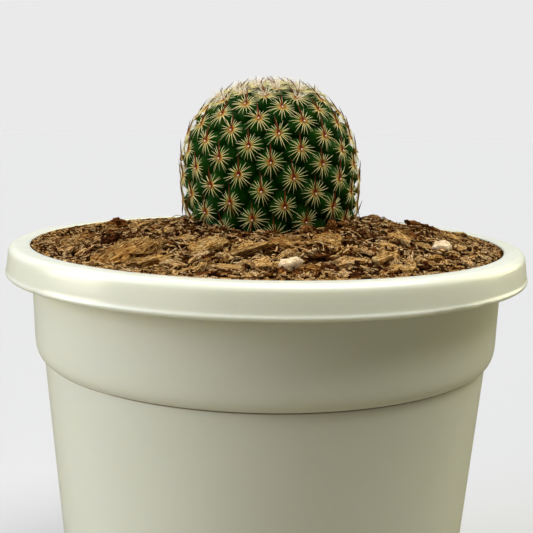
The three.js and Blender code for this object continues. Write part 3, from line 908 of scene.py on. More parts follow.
def tip_radius(z):
    """Radius of the surface through the tubercles' tips."""
    reach = CACTUS_TOP if z > 0 else CACTUS_ROOT
    t = min(abs(z) / reach, 1)
    return CACTUS_RADIUS * (1 - t ** CACTUS_POWER) ** (1 / CACTUS_POWER)


def tip_height(angle):
    """Height on the surface through the tips, at an angle down from the crown."""
    return (CACTUS_TOP if angle < math.pi / 2 else CACTUS_ROOT) * math.cos(angle)


def tip_slope(z):
    """Outward normal of the tip surface in the (radius, height) plane."""
    reach = CACTUS_TOP if z > 0 else CACTUS_ROOT
    r = max(tip_radius(z), 0.01)
    out = (r / CACTUS_RADIUS) ** (CACTUS_POWER - 1) / CACTUS_RADIUS
    up = math.copysign((abs(z) / reach) ** (CACTUS_POWER - 1), z) / reach
    return Vector((out, up)).normalized()


def tubercles(lowest):
    """The spiral of tubercle tips, as (tip, normal, crownward, lean, spacing)."""
    steps = 6000
    # Each tip holds the area of a hexagon as wide as the spacing.
    hexagon = 0.866
    found = []
    walked = 0.0
    count = -0.3
    last_radius, last_z = 0.0, CACTUS_TOP
    for i in range(1, steps + 1):
        z = tip_height(i / steps * math.pi)
        radius = tip_radius(z)
        stride = math.hypot(radius - last_radius, z - last_z)
        walked += stride
        grown_up = 1 - math.exp(-walked / SPACING_RUN)
        spacing = CROWN_SPACING + (SIDE_SPACING - CROWN_SPACING) * grown_up
        count += math.pi * (radius + last_radius) * stride / (hexagon * spacing * spacing)
        last_radius, last_z = radius, z
        while count >= len(found):
            turn = FIRST_ANGLE + len(found) * DIVERGENCE
            slope = tip_slope(z)
            way = Vector((math.cos(turn), math.sin(turn), 0))
            lean = 0.15 + 0.75 * min(1, walked / 22)
            found.append((way * radius + Vector((0, 0, z)),
                          way * slope.x + Vector((0, 0, slope.y)),
                          way * -slope.y + Vector((0, 0, slope.x)), lean, spacing))
        if z < lowest:
            break
    return found


def cactus_place():
    """Where the upright plant goes, with its lean to the front and the left."""
    return (Matrix.Translation(CACTUS_CENTRE) @ Matrix.Rotation(CACTUS_LEAN_FRONT, 4, "X")
            @ Matrix.Rotation(-CACTUS_LEAN_LEFT, 4, "Y"))


class Areole:
    """One tubercle's tip in the part's frame."""

    def __init__(self, index, tip, normal, crownward, lean, spacing):
        place = cactus_place()
        turn = place.to_3x3()
        self.index = index
        self.tip = place @ tip
        self.normal = turn @ normal
        self.crownward = turn @ crownward
        self.sideways = self.normal.cross(self.crownward)
        self.lean = lean
        self.spacing = spacing
        self.size = min(1.0, spacing / FULL_SPACING)

    def ray(self, angle):
        """A direction along the skin, turned from crownwards."""
        return self.crownward * math.cos(angle) + self.sideways * math.sin(angle)


def shown_areoles():
    """The areoles above the compost, with those half buried in it."""
    shown = []
    for index, tubercle in enumerate(tubercles(LOWEST_AREOLE)):
        areole = Areole(index, *tubercle)
        if areole.tip.z > soil_height(areole.tip.x, areole.tip.y) - 0.7:
            shown.append(areole)
    return shown


def skin_mesh(groove_depth):
    """The body: a spun globe pressed in between the tubercle tips."""
    # The part in view has fine rows, and the part in the compost a few.
    in_view, fine, coarse = 0.66, 168, 12
    rows = [math.pi * in_view * i / fine for i in range(fine + 1)]
    rows += [math.pi * (in_view + (1 - in_view) * i / coarse) for i in range(1, coarse + 1)]
    bm = spun([(tip_radius(tip_height(angle)), tip_height(angle)) for angle in rows], SPUN_SIDES)
    found = tubercles(LOWEST_TUBERCLE)
    tree = kdtree.KDTree(len(found))
    for i, (tip, *_) in enumerate(found):
        tree.insert(tip, i)
    tree.balance()
    grooves = []
    blunt = 0.25
    for vert in bm.verts:
        (_, index, nearest), (_, _, second) = tree.find_n(vert.co, 2)
        spacing = found[index][-1]
        apart = nearest / (0.6 * spacing)
        valley = (second - nearest) / spacing
        # A finger with a blunt tip that widens down to a crisp valley.
        cone = min(1.0, (math.hypot(apart, blunt) - blunt) / (math.hypot(1, blunt) - blunt))
        groove = 0.86 * cone + 0.14 * math.exp(-(valley / 0.10) ** 2)
        shown = clamped((vert.co.z + 20) / 6)
        size = min(1, spacing / SIDE_SPACING)
        depth = (groove_depth * groove) * size * shown
        slope = tip_slope(vert.co.z)
        way = Vector((vert.co.x, vert.co.y, 0))
        way = way.normalized() if way.length > 1e-6 else Vector((1, 0, 0))
        normal = way * slope.x + Vector((0, 0, slope.y))
        grain = noise.noise(vert.co * 0.9) * 0.10 + noise.noise(vert.co * 2.6) * 0.05
        vert.co -= normal * (depth + 0.25 - grain)
        grooves.append(min(1.0, groove))
    bmesh.ops.transform(bm, matrix=cactus_place(), verts=bm.verts)
    bmesh.ops.recalc_face_normals(bm, faces=bm.faces)
    return bm, grooves


def skin_material(settings):
    """Green skin, lightest on the tubercles' tips as a painted highlight and darkest in the grooves
    as painted shade.
    """
    material, nodes, sockets = surface("cactus skin", Specular_IOR_Level=0.035)
    place = nodes.object_coordinates()
    groove = nodes.attribute("groove")
    mottled = nodes.math("ADD", groove, nodes.varied(nodes.noise(place, 420.0), -0.22, 0.22))
    skin, deep = tuple(settings.skin), tuple(settings.groove)
    # Painted highlight: a lighter, yellower green on the tubercles' tips; the groove colour is
    # painted shade.
    light = tuple(min(1, c * f) for c, f in zip(skin, (7.0, 1.5, 5.0)))
    colour = nodes.ramp(mottled, ((0.0, light), (0.3, skin), (0.78, deep)))
    pores = nodes.group(specks_group(), Vector=place, Scale=2600.0, Amount=0.35).outputs["Mask"]
    colour = nodes.mix(nodes.math("MULTIPLY", pores, 0.3), colour, (0.04, 0.16, 0.03))
    nodes.join(colour, sockets["Base Color"])
    nodes.join(nodes.varied(nodes.noise(place, 900.0), 0.38, 0.6), sockets["Roughness"])
    nodes.join(nodes.bump(nodes.noise(place, 1800.0, 5.0, 0.7), 0.25, 0.0003), sockets["Normal"])
    return material


def spine_material(name, stops, roughness, shine=0.1):
    """Spines coloured from root to tip by their own length."""
    material, nodes, sockets = surface(name, Specular_IOR_Level=shine)
    along = nodes.attribute("along")
    patch = nodes.noise(nodes.object_coordinates(), 700.0, 3.0)
    shifted = nodes.math("ADD", along, nodes.varied(patch, -0.12, 0.12))
    nodes.join(nodes.ramp(shifted, stops), sockets["Base Color"])
    nodes.join(nodes.varied(patch, roughness - 0.1, roughness + 0.1), sockets["Roughness"])
    return material


def felt_material(name, stops, scale):
    """Short felt coloured by its own shade."""
    material, nodes, sockets = surface(name, Specular_IOR_Level=0.1, Sheen_Weight=0.08)
    fuzz = nodes.noise(nodes.object_coordinates(), scale, 5.0, 0.75)
    shifted = nodes.math("ADD", nodes.attribute("shade"), nodes.varied(fuzz, -0.18, 0.18))
    nodes.join(nodes.ramp(shifted, stops), sockets["Base Color"])
    nodes.join(nodes.varied(fuzz, 0.8, 1.0), sockets["Roughness"])
    nodes.join(nodes.bump(fuzz, 0.7, 0.0003), sockets["Normal"])
    return material


def needle(unit, root, frame_columns, length, widths, bow):
    """One needle from the pattern: tapered by widths at root, middle and tip, and bowed."""
    t = unit[:, 2]
    width = np.where(t < 0.5, widths[0] + (widths[1] - widths[0]) * t * 2,
                     widths[1] + (widths[2] - widths[1]) * (t * 2 - 1))
    local = np.column_stack((unit[:, 0] * width + bow * t * t, unit[:, 1] * width, t * length))
    return local @ frame_columns.T + np.array(root)


# Operators.


class CACTUS_OT_pot(bpy.types.Operator):
    """Make the moulded pot with its rolled rim, collar, foot ring and drainage holes"""
    bl_idname = "cactus.pot"
    bl_label = "Pot"

    def execute(self, context):
        settings = context.scene.cactus_pot
        bm = pot_mesh(settings.sides)
        settle_pot(bm)
        finished("pot_moulding", bm, smooth=True, material=plastic_material(settings),
                 replaces=("pot",))
        return {"FINISHED"}


class CACTUS_OT_soil(bpy.types.Operator):
    """Make the bed of compost"""
    bl_idname = "cactus.soil"
    bl_label = "Compost"

    def execute(self, context):
        material = compost_material(context.scene.cactus_soil)
        finished("compost_bed", soil_mesh(), smooth=True, material=material,
                 replaces=("soil",))
        return {"FINISHED"}


class CACTUS_OT_loose_bark(bpy.types.Operator):
    """Scatter the flakes, crumbs, slivers and fibres over the compost"""
    bl_idname = "cactus.loose_bark"
    bl_label = "Loose bark"

    def execute(self, context):
        settings = context.scene.cactus_soil
        # The pitted colour darkens the pits of the grain, as painted shade.
        material = bark_material(settings, "loose bark", pitted=(0.24, 0.12, 0.07))
        self.fused_flakes(material)
        self.small_flakes(material, settings.flakes)
        self.fallen_bits(material)
        self.crumbs(material)
        self.slivers(material, settings.slivers)
        self.fibres(material, settings.fibres)
        return {"FINISHED"}

    def place(self, name, mesh, rows, material, smooth):
        """One piece of all rows, each a copy's vertices, its place in the grain and its tone."""
        coords, grains, tones = zip(*rows)
        piece = finished(name, scattered(mesh, coords), smooth=smooth, material=material)
        point_values(piece, "tone", np.repeat(tones, len(coords[0])))
        point_vectors(piece, "grain", np.concatenate(grains))

    def fused_flakes(self, material):
        """The flakes that the solids' soil has too, and single sticks among them."""
        mesh, unit = block_pattern(4, 2, 1)
        draw = seeded_draw(41)
        tone = seeded_draw(42)
        rows = []
        while len(rows) < LOOSE_CHIPS:
            x, y, radius = spot(draw, 30, 31.5)
            length = 3.2 + 4.2 * draw()
            width = length * (0.32 + 0.3 * draw())
            thickness = 1.0 + 1.1 * draw()
            turn = draw() * math.pi
            tip = (draw() - 0.5) * 0.5
            roll = (draw() - 0.5) * 0.7
            phase = draw() * 20
            outside = radius + length / 2 > SOIL_EDGE_RADIUS - 1.2
            if outside or near_large_piece(x, y, length * 0.45):
                continue
            own = bark_coords(unit, (length, width, thickness), 0.1, phase)
            lift = 0.05 + 0.25 * thickness - 0.6 * (x > 20 and y > 0)
            shade = (0.35 if y < -20 or x > 0 else 0.2) + 0.45 * tone()
            rows.append((laid(own, x, y, turn, tip, roll, lift), own + phase * 7, shade))
        for i, (x, y, *size, bow, turn, shade) in enumerate(STICKS):
            own = bark_coords(unit, size, bow, i * 3.1)
            lift = 0.45 * size[2] - 0.7 * (x > 30 and y > 0)
            rows.append((laid(own, x, y, math.radians(turn), 0, 0.15, lift), own + i * 9, shade))
        self.place("bark_flakes_large", mesh, rows, material, False)

    def small_flakes(self, material, count):
        """Short chips, dark or pale, larger at the front."""
        mesh, unit = block_pattern(1, 1, 0)
        draw = seeded_draw(97)
        rows = []
        while len(rows) < count:
            x, y, radius = spot(draw, 66.0)
            size = draw()
            back = clamped((y + 44) / 12)
            length = 1.4 + (4.6 - 2.7 * back) * size * size
            width = length * (0.2 + (0.34 - 0.1 * back) * draw())
            thickness = 0.25 + 0.5 * draw()
            turn, tip, roll = draw() * TAU, (draw() - 0.5) * 0.8, (draw() - 0.5) * 1.3
            kind, phase, shade, lift = draw(), draw() * 20, draw(), draw()
            from_plant = from_foot(x, y)
            outside = radius + length * 0.45 > SOIL_EDGE_RADIUS + 0.3
            if from_plant - length * 0.5 < 24.4 or outside or on_large_piece(x, y):
                continue
            own = bark_coords(unit, (length, width, thickness), 0.15, phase)
            own = roughened(own, 0.12, (5, 6, 4), phase)
            damp = 0.1 * clamped(-x / 16) * back
            if draw() < 4 * damp and size > 0.55:
                continue
            # Painted shadow of the plant: flakes just in front of its foot are more often dark.
            shaded = 0.22 * clamped((33 - from_plant) / 8) * (y < 0)
            dark = kind < 0.44 + 0.2 * back + damp + shaded - 0.1 * (x > 18 and y < -15)
            tone = 0.26 * shade if dark else 0.6 + 0.44 * shade
            far = farness(y)
            calm = 1 - 0.5 * far
            high = 0.1 - 0.3 * far + (0.25 + 0.45 * back * (1 - far)) * lift
            rows.append((laid(own, x, y, turn, tip * calm, roll * calm, high), own + phase * 7,
                         tone))
        self.place("bark_flakes_small", mesh, rows, material, False)

    def fallen_bits(self, material):
        """The rounder bits that lie against the foot of the plant and at the front."""
        mesh, unit = block_pattern(1, 1, 1)
        ball = rounded(unit, 0.62)
        rows = []
        for i, (x, y, *size, shade) in enumerate(FALLEN_BITS):
            own = roughened(ball * np.array(size), 0.16, (2, 3, 2), i * 1.7)
            rows.append((laid(own, x, y, i * 1.3, 0.1, 0.1, 0.3 * size[2]), own + i * 9.0, shade))
        self.place("fallen_bits", mesh, rows, material, True)

    def crumbs(self, material):
        """Small grains, over the whole bed and then along the wall of the pot."""
        mesh, unit = block_pattern(1, 1, 1)
        ball = rounded(unit, 0.55)
        draw = seeded_draw(133)
        rows = []
        while len(rows) < LOOSE_CRUMBS:
            x, y, radius = spot(draw, 66.3)
            size = 0.3 + 0.95 * draw() ** 3
            phase, shade, lift = draw() * 20, draw(), draw()
            outside = radius + size * 0.7 > SOIL_EDGE_RADIUS
            if from_foot(x, y) < 25.0 or outside or on_large_piece(x, y):
                continue
            own = ball * size * np.array((1.2, 1, 0.8))
            own = roughened(own, 0.2 * size, (6, 5, 7), phase)
            far = farness(y)
            high = 0.3 - 0.3 * far + (0.6 - 0.3 * far) * lift
            rows.append((laid(own, x, y, phase, phase, phase, high), own + phase * 7,
                         0.95 * shade * shade))
        for _ in range(WALL_CRUMBS):
            angle, size, phase, shade = draw() * TAU, 0.5 + 0.8 * draw() ** 2, draw() * 20, draw()
            radius = BY_WALL + (BY_WALL_WIDTH - 0.62 * size) * draw()
            own = ball * size * np.array((1.3, 1, 0.7))
            own = roughened(own, 0.2 * size, (6, 5, 7), phase)
            coords = laid(own, *around(angle, radius), phase, 0, 0, wall_lift(0.18, radius))
            rows.append((coords, own + phase * 7, 0.95 * shade))
        self.place("compost_crumbs", mesh, rows, material, True)

    def slivers(self, material, count):
        """Thin, dry slivers of bark that stand out light against the damp matter below."""
        mesh, unit = needle_pattern(3, 2)
        draw = seeded_draw(269)
        rows = []
        while len(rows) < count:
            x, y, radius = spot(draw, 66.4)
            length = 0.9 + 2.6 * draw() ** 2
            wide = 0.11 + 0.19 * draw()
            turn, tip, roll, shade = draw() * TAU, (draw() - 0.5) * 0.9, draw() * TAU, draw()
            bend, phase, lift = (draw() - 0.5) * 0.5, draw() * 20, draw()
            if from_foot(x, y) < 25.2 or radius + length * 0.5 > SOIL_EDGE_RADIUS + 0.2:
                continue
            if (y < -46 and lift < 0.55) or on_large_piece(x, y):
                continue
            own = sliver_coords(unit, length, wide, bend)
            far = farness(y)
            high = 0.45 - 0.3 * far + (0.5 - 0.3 * far) * lift
            coords = laid(own, x, y, turn, tip * (1 - 0.5 * far), 0.3 * math.sin(roll), high)
            palest = 0.78 if x < 0 and y > -30 else 0.7
            rows.append((coords, own + phase * 7, palest + 0.45 * shade if shade > 0.25 else 0.2))
        # Along the wall of the pot, most of them along it too.
        for _ in range(WALL_SLIVERS):
            angle, length = draw() * TAU, 0.9 + 1.5 * draw()
            wide, shade = 0.12 + 0.2 * draw(), draw()
            radius, phase = BY_WALL + BY_WALL_WIDTH * math.sqrt(draw()), draw() * 20
            turn = angle + math.pi / 2 + (draw() - 0.5) * 0.5
            own = sliver_coords(unit, length, wide)
            coords = laid(own, *around(angle, radius), turn, 0, 0, wall_lift(0.26, radius))
            rows.append((coords, own + phase * 7, 0.45 + 0.65 * shade))
        self.place("compost_slivers", mesh, rows, material, False)

    def fibres(self, material, count):
        """Loose fibres, over the whole bed and then a tangle of longer ones at the left."""
        mesh, unit = needle_pattern(3, 6)
        draw = seeded_draw(211)
        rows = []
        while len(rows) < count:
            x, y, radius = spot(draw, 65.0)
            length = 2.0 + 6.0 * draw() ** 2
            turn, rise, bow, shade, phase = draw() * TAU, draw(), draw(), draw(), draw() * 20
            if from_foot(x, y) < 26.0 or radius + length > SOIL_EDGE_RADIUS:
                continue
            own = fibre_coords(unit, length, 0.07 + 0.08 * shade, 0.9 * (bow - 0.5),
                               0.1 + 0.5 * rise)
            rows.append((laid(own, x, y, turn, 0, 0, 0.45), own + phase * 7, 0.35 + 0.5 * shade))
        while len(rows) < count + LEFT_FIBRES:
            x, y = -60.0 + 9 * draw(), -24.0 + 18 * draw()
            length, turn = 2.5 + 3.5 * draw(), draw() * TAU
            rise, bow, shade, phase = draw(), draw(), draw(), draw() * 20
            own = fibre_coords(unit, length, 0.14, 1.6 * (bow - 0.5), 0.2 + 1.0 * rise)
            coords = laid(own, x, y, turn, 0, 0, 0.4)
            if np.hypot(coords[:, 0], coords[:, 1]).max() < SOIL_EDGE_RADIUS:
                rows.append((coords, own + phase * 7, 0.6 + 0.35 * shade))
        self.place("compost_fibres", mesh, rows, material, True)


class CACTUS_OT_large_pieces(bpy.types.Operator):
    """Make the large pieces of bark and the pale grains that lie on the compost"""
    bl_idname = "cactus.large_pieces"
    bl_label = "Large pieces"

    def execute(self, context):
        settings = context.scene.cactus_soil
        # The pitted colour darkens the pits of the grain, as painted shade.
        bark = bark_material(settings, "large bark", pitted=(0.62, 0.54, 0.46))
        pale = self.pale_material()
        for i, (name, at, size, bow, turn, roll, tone) in enumerate(LARGE_PIECES):
            is_pale = name.startswith("perlite")
            mesh, unit = block_pattern(23, 11, 2)
            phase = i * 2.3 + 1
            own = bark_coords(unit, size, bow, phase)
            own += self.weathered(unit, own, size, phase) * (0.45 if is_pale else 1)
            coords = laid(own, *at, math.radians(turn), 0, math.radians(roll), 0.35 * size[2])
            piece = finished(name + "_detail", scattered(mesh, [coords]), smooth=True,
                             material=pale if is_pale else bark, replaces=(name,))
            point_values(piece, "tone", np.full(len(own), tone))
            point_vectors(piece, "grain", own * 0.8 + phase * 7)
        return {"FINISHED"}

    def weathered(self, unit, own, size, phase):
        """Splinters along the grain and a worn, ragged outline."""
        ragged = ripple(own[:, 0] * 2.2, own[:, 1] * 1.1, own[:, 2], phase + 3)
        furrow = ripple(own[:, 1] * 4.5, own[:, 0] * 0.5, own[:, 2] * 0.6, phase + 6)
        edge = np.abs(unit[:, 1] * 2) ** 3
        end = np.abs(unit[:, 0] * 2) ** 6
        splinter = ripple(own[:, 1] * 5.5, own[:, 2] * 2, own[:, 0] * 0.3, phase + 8)
        pitted = np.array([noise.fractal(Vector(v) * 1.1 + Vector((phase, 0, 0)), 0.6, 2.2, 4)
                           for v in own])
        return np.column_stack((
            end * splinter * 0.07 * size[0],
            edge * ragged * 0.12 * size[1] * np.sign(unit[:, 1]),
            0.14 * size[2] * furrow * (1 - 0.5 * edge) + 0.5 * pitted))

    def pale_material(self):
        """Pale, pitted mineral grain."""
        material, nodes, sockets = surface("pale grain", Specular_IOR_Level=0.2)
        place = nodes.object_coordinates()
        pits = nodes.noise(place, 1500.0, 6.0, 0.7)
        colour = nodes.ramp(pits, ((0.32, (0.40, 0.24, 0.12)), (0.47, (0.80, 0.61, 0.38)),
                                   (0.68, (0.92, 0.78, 0.58))))
        nodes.join(colour, sockets["Base Color"])
        nodes.join(nodes.varied(pits, 0.95, 0.75), sockets["Roughness"])
        nodes.join(nodes.bump(pits, 0.6, 0.0005), sockets["Normal"])
        return material


class CACTUS_OT_body(bpy.types.Operator):
    """Make the green body with its spirals of tubercles"""
    bl_idname = "cactus.body"
    bl_label = "Cactus body"

    def execute(self, context):
        settings = context.scene.cactus_plant
        bm, grooves = skin_mesh(settings.groove_depth / MM)
        piece = finished("cactus_body", bm, smooth=True, material=skin_material(settings),
                         replaces=("cactus",))
        point_values(piece, "groove", grooves)
        return {"FINISHED"}


class CACTUS_OT_areoles(bpy.types.Operator):
    """Make the felted areoles at the tubercle tips and the wool of the crown"""
    bl_idname = "cactus.areoles"
    bl_label = "Areoles and wool"

    def execute(self, context):
        areoles = shown_areoles()
        self.pads(areoles)
        self.spots(areoles)
        self.wool(areoles)
        return {"FINISHED"}

    def pads(self, areoles):
        """The brown felt on each tip, yellow towards its edge."""
        mesh, unit = ball_pattern(2)
        copies = []
        for areole in areoles:
            columns = frame_matrix(areole.normal, areole.crownward)
            uneven = 1 + 0.13 * ripple(unit[:, 0] * 4, unit[:, 1] * 5, unit[:, 2] * 4, areole.index)
            local = unit * uneven[:, None] * np.array((1.0, 0.9, 0.55)) * areole.size
            copies.append(local @ columns.T + np.array(areole.tip - areole.normal * 0.12))
        shade = np.clip(np.hypot((unit[:, 0] - 0.12) * 0.9, unit[:, 1]), 0, 1)
        felt = felt_material("areole felt", (
            (0.0, (0.08, 0.006, 0.002)), (0.6, (0.15, 0.016, 0.003)), (0.72, (0.45, 0.14, 0.014)),
            (0.86, (0.60, 0.30, 0.04)), (1.0, (0.68, 0.46, 0.12))), 2500.0)
        grown("areole_felt", mesh, copies, felt, "shade", [shade] * len(copies))

    def spots(self, areoles):
        """The small white tuft just below each central spine."""
        mesh, unit = ball_pattern(1)
        copies = []
        for areole in areoles:
            columns = frame_matrix(areole.normal, areole.crownward)
            size = areole.size
            local = unit * np.array((0.36, 0.32, 0.3)) * size
            root = areole.tip - areole.crownward * 0.36 * size + areole.normal * 0.42 * size
            copies.append(local @ columns.T + np.array(root))
        shade = 0.5 + 0.5 * unit[:, 2]
        felt = felt_material(
            "white tuft", ((0.0, (0.50, 0.27, 0.11)), (0.6, (0.86, 0.68, 0.46))), 3000.0)
        grown("areole_tufts", mesh, copies, felt, "shade", [shade] * len(copies))

    def wool(self, areoles):
        """Fine pale bristles between the crowded areoles of the crown."""
        mesh, unit = needle_pattern(3, 5)
        draw = seeded_draw(317)
        copies = []
        for areole in areoles[:YOUNG_AREOLES]:
            crowd = max(0.0, 1 - areole.index / 38)
            for _ in range(int(8 + 40 * crowd)):
                angle, out = draw() * TAU, draw()
                length = 2.0 + 1.7 * draw()
                curl = (draw() - 0.5) * 0.7
                root = areole.tip + areole.ray(angle) * (0.3 + 1.5 * out) * (0.4 + 0.6 * crowd)
                root -= areole.normal * (0.2 + 0.5 * out)
                axis = areole.normal * (0.7 + draw()) + areole.ray(draw() * TAU) * 0.9
                columns = frame_matrix(axis, areole.ray(draw() * TAU))
                copies.append(needle(unit, root, columns, length, (0.12, 0.09, 0.02), curl))
        hair = spine_material("crown wool", (
            (0.0, (0.90, 0.66, 0.42)), (0.3, (0.98, 0.87, 0.70)), (1.0, (0.99, 0.93, 0.82))),
            0.55, 0.6)
        grown("crown_wool", mesh, copies, hair, "along", [unit[:, 2]] * len(copies))


class CACTUS_OT_radial_spines(bpy.types.Operator):
    """Make the pale radial spines, a star of them on each areole"""
    bl_idname = "cactus.radial_spines"
    bl_label = "Radial spines"

    def execute(self, context):
        settings = context.scene.cactus_plant
        full = settings.radial_length / MM
        mesh, unit = needle_pattern(5, 3)
        draw = seeded_draw(523)
        copies = []
        for areole in shown_areoles():
            size = min(1.0, 0.78 + 0.22 * areole.spacing / 7.6)
            size += 0.2 * max(0, 1 - abs(areole.index - 18) / 20)
            crowded = int(18 * (1 - areole.lean))
            count = settings.radial_spines + int(draw() * 3) - 1 + crowded
            start = draw() * TAU
            for k in range(count):
                angle = start + (k + 0.7 * (draw() - 0.5)) / count * TAU
                ray = areole.ray(angle)
                longer = 1 - 0.13 * math.cos(angle)
                length = full * size * longer * (0.72 + 0.38 * draw())
                lift = 0.2 * draw() + (0.4 + 0.7 * draw()) * (1 - areole.lean) ** 1.2
                columns = frame_matrix(ray + areole.normal * lift, areole.normal)
                root = areole.tip + ray * 0.82 * size + areole.normal * 0.06
                bow = (0.14 * (draw() - 0.5) - 0.18) * length
                copies.append(needle(unit, root, columns, length - 0.76 * size,
                                     (0.105, 0.084, 0.02), bow))
        pale = spine_material("radial spine", (
            (0.0, (0.50, 0.24, 0.035)), (0.12, (0.74, 0.55, 0.19)), (0.34, (0.87, 0.78, 0.36)),
            (1.0, (0.94, 0.87, 0.54))), 0.45)
        grown("radial_spines", mesh, copies, pale, "along", [unit[:, 2]] * len(copies))
        return {"FINISHED"}


class CACTUS_OT_central_spines(bpy.types.Operator):
    """Make the red-brown central spines that bow towards the crown"""
    bl_idname = "cactus.central_spines"
    bl_label = "Central spines"

    def execute(self, context):
        settings = context.scene.cactus_plant
        full = settings.central_length / MM
        mesh, unit = needle_pattern(6, 6)
        draw = seeded_draw(877)
        copies, along = [], []
        for areole in shown_areoles():
            tip, normal, crownward = areole.tip, areole.normal, areole.crownward
            grown_up = min(1, 0.3 + 0.7 * areole.spacing / FULL_SPACING)
            length = full * (0.84 + 0.36 * draw()) * grown_up
            lean = areole.lean * (0.9 + 0.2 * draw())
            swing = (draw() - 0.5) * 0.3
            axis = (normal * (0.62 - 0.54 * lean) + crownward * (0.62 + 0.3 * lean)
                    + areole.sideways * swing)
            root = tip + crownward * 0.3 + normal * 0.1
            copies.append(needle(unit, root, frame_matrix(axis, -normal), length,
                                 (0.23, 0.19, 0.035), 0.07 * length * lean))
            along.append(unit[:, 2])
            if areole.index < YOUNG_AREOLES:
                # The young areoles of the crown carry a second, thinner one.
                stray = (normal * 0.8 + crownward * (0.3 + 0.3 * draw())
                         + areole.sideways * (draw() - 0.5) * 1.2)
                copies.append(needle(unit, root, frame_matrix(stray, normal), 2.2 + 1.2 * draw(),
                                     (0.14, 0.11, 0.03), 0.1))
                along.append(unit[:, 2])
            clearance = tip.z - float(soil_height(tip.x, tip.y))
            if clearance < 8:
                # Old spines of the lowest areoles hang down to the compost.
                for _ in range(1 + int(2 * draw())):
                    droop = (normal * (0.15 + 0.25 * draw()) - crownward * (0.7 + 0.5 * draw())
                             + areole.sideways * (draw() - 0.5) * 0.9)
                    reach = min(full * (0.7 + 0.5 * draw()), 1.5 * clearance + 2.2)
                    copies.append(needle(unit, root, frame_matrix(droop, areole.sideways), reach,
                                         (0.13, 0.12, 0.03), (draw() - 0.5) * reach * 0.4))
                    along.append(0.35 + 0.5 * unit[:, 2])
        brown = spine_material("central spine", (
            (0.0, (0.09, 0.006, 0.0015)), (0.14, (0.16, 0.020, 0.004)), (0.5, (0.17, 0.036, 0.006)),
            (0.85, (0.065, 0.015, 0.006)), (1.0, (0.02, 0.007, 0.005))), 0.4)
        grown("central_spines", mesh, copies, brown, "along", along)
        return {"FINISHED"}


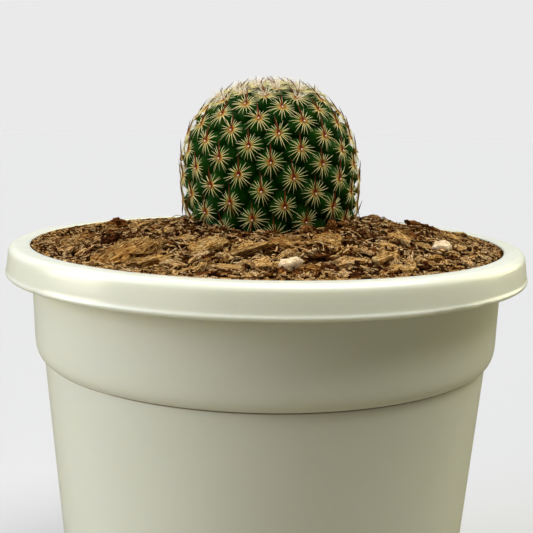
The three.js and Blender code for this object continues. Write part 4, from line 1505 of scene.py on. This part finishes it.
class CACTUS_OT_stage(bpy.types.Operator):
    """Set the floor, the soft studio light and the camera"""
    bl_idname = "cactus.stage"
    bl_label = "Stage"

    def execute(self, context):
        settings = context.scene.cactus_stage
        self.floor(settings)
        self.camera(settings)
        self.light("window", -82, 34, 42, settings.window, (0.51, 0.64, 1.0))
        self.light("sill", -86, 9, 34, settings.sill, (1.0, 0.957, 0.766))
        self.light("side", -55, 15, 60, settings.side, (1.0, 0.91, 0.81))
        self.light("front", 0, 72, 50, settings.front, (1.0, 1.0, 0.48))
        self.light("ceiling", 90, 72, 50, settings.ceiling, (1.0, 1.0, 0.99))
        self.light("garden", 118, 15, 40, settings.garden, (1.0, 0.93, 0.5))
        self.backdrop(context, settings)
        context.scene.view_settings.view_transform = "Standard"
        return {"FINISHED"}

    def backdrop(self, context, settings):
        """Pale to the camera, a little darker in the pot's gloss, and else a dim, warm room."""
        world = bpy.data.worlds.new("studio")
        world.use_nodes = True
        nodes = Nodes(world.node_tree)
        path = nodes.add("ShaderNodeLightPath").outputs
        around = nodes.mix(path["Is Glossy Ray"], tuple(settings.room), tuple(settings.mirrored))
        colour = nodes.mix(path["Is Camera Ray"], around, tuple(settings.backdrop))
        nodes.join(colour, world.node_tree.nodes["Background"].inputs["Color"])
        context.scene.world = world

    def floor(self, settings):
        """A wide, flat sheet of paper; only the camera sees how pale it is."""
        bm = bmesh.new()
        bmesh.ops.create_grid(bm, x_segments=8, y_segments=8, size=20)
        mesh = bpy.data.meshes.new("paper")
        bm.to_mesh(mesh)
        bm.free()
        sheet = bpy.data.objects.new("paper", mesh)
        bpy.context.scene.collection.objects.link(sheet)
        material, nodes, sockets = surface("paper", Roughness=0.95, Specular_IOR_Level=0.0)
        seen = nodes.add("ShaderNodeLightPath").outputs["Is Camera Ray"]
        faint = nodes.noise(nodes.object_coordinates(), 40.0, 2.0)
        shade = nodes.mix(nodes.varied(faint, 0.0, 0.015), tuple(settings.floor), (0.6, 0.6, 0.6))
        nodes.join(nodes.mix(seen, tuple(settings.bounce), shade), sockets["Base Color"])
        mesh.materials.append(material)

    def camera(self, settings):
        data = bpy.data.cameras.new("camera")
        data.sensor_fit = "HORIZONTAL"
        data.sensor_width = FILM_WIDTH
        data.lens = FILM_WIDTH * FOCAL_PIXELS / PICTURE_PIXELS
        data.clip_start = 0.01
        data.clip_end = 20
        camera = bpy.data.objects.new("camera", data)
        camera.matrix_world = (
            Matrix.Translation((0, -settings.distance, POT_HEIGHT * MM + settings.height))
            @ Matrix.Rotation(CAMERA_TILT, 4, "X") @ Matrix.Rotation(CAMERA_ROLL, 4, "Z"))
        bpy.context.scene.collection.objects.link(camera)
        bpy.context.scene.camera = camera

    def light(self, name, azimuth, elevation, spread, strength, colour):
        """A broad, even light; azimuth is from the camera's side, clockwise seen from above."""
        data = bpy.data.lights.new(name, "SUN")
        data.angle = math.radians(spread)
        data.energy = strength * math.pi
        data.color = colour
        lamp = bpy.data.objects.new(name, data)
        turn, rise = math.radians(azimuth), math.radians(elevation)
        way = Vector((math.sin(turn) * math.cos(rise), -math.cos(turn) * math.cos(rise),
                      math.sin(rise)))
        lamp.location = way * 2
        lamp.rotation_euler = way.to_track_quat("Z", "Y").to_euler()
        bpy.context.scene.collection.objects.link(lamp)


class CACTUS_PT_panel(bpy.types.Panel):
    """Sizes, colours and the steps that build the plant"""
    bl_idname = "CACTUS_PT_panel"
    bl_label = "Potted round cactus"
    bl_space_type = "VIEW_3D"
    bl_region_type = "UI"
    bl_category = "Cactus"

    def draw(self, context):
        for name in SETTINGS:
            box = self.layout.box()
            group = getattr(context.scene, name)
            for key in group.__annotations__:
                box.prop(group, key)
        for operator in STEPS:
            self.layout.operator(operator.bl_idname)


SETTINGS = {
    "cactus_pot": PotSettings,
    "cactus_soil": SoilSettings,
    "cactus_plant": CactusSettings,
    "cactus_stage": StageSettings,
}
STEPS = (
    CACTUS_OT_stage,
    CACTUS_OT_pot,
    CACTUS_OT_soil,
    CACTUS_OT_loose_bark,
    CACTUS_OT_large_pieces,
    CACTUS_OT_body,
    CACTUS_OT_areoles,
    CACTUS_OT_radial_spines,
    CACTUS_OT_central_spines,
)


def register():
    for cls in (*SETTINGS.values(), *STEPS, CACTUS_PT_panel):
        bpy.utils.register_class(cls)
    for name, cls in SETTINGS.items():
        setattr(bpy.types.Scene, name, PointerProperty(type=cls))


def unregister():
    for name in SETTINGS:
        delattr(bpy.types.Scene, name)
    for cls in (CACTUS_PT_panel, *reversed(STEPS), *reversed(list(SETTINGS.values()))):
        bpy.utils.unregister_class(cls)


def main():
    register()
    for step in STEPS:
        area, action = step.bl_idname.split(".")
        getattr(getattr(bpy.ops, area), action)()


if __name__ == "__main__":
    main()
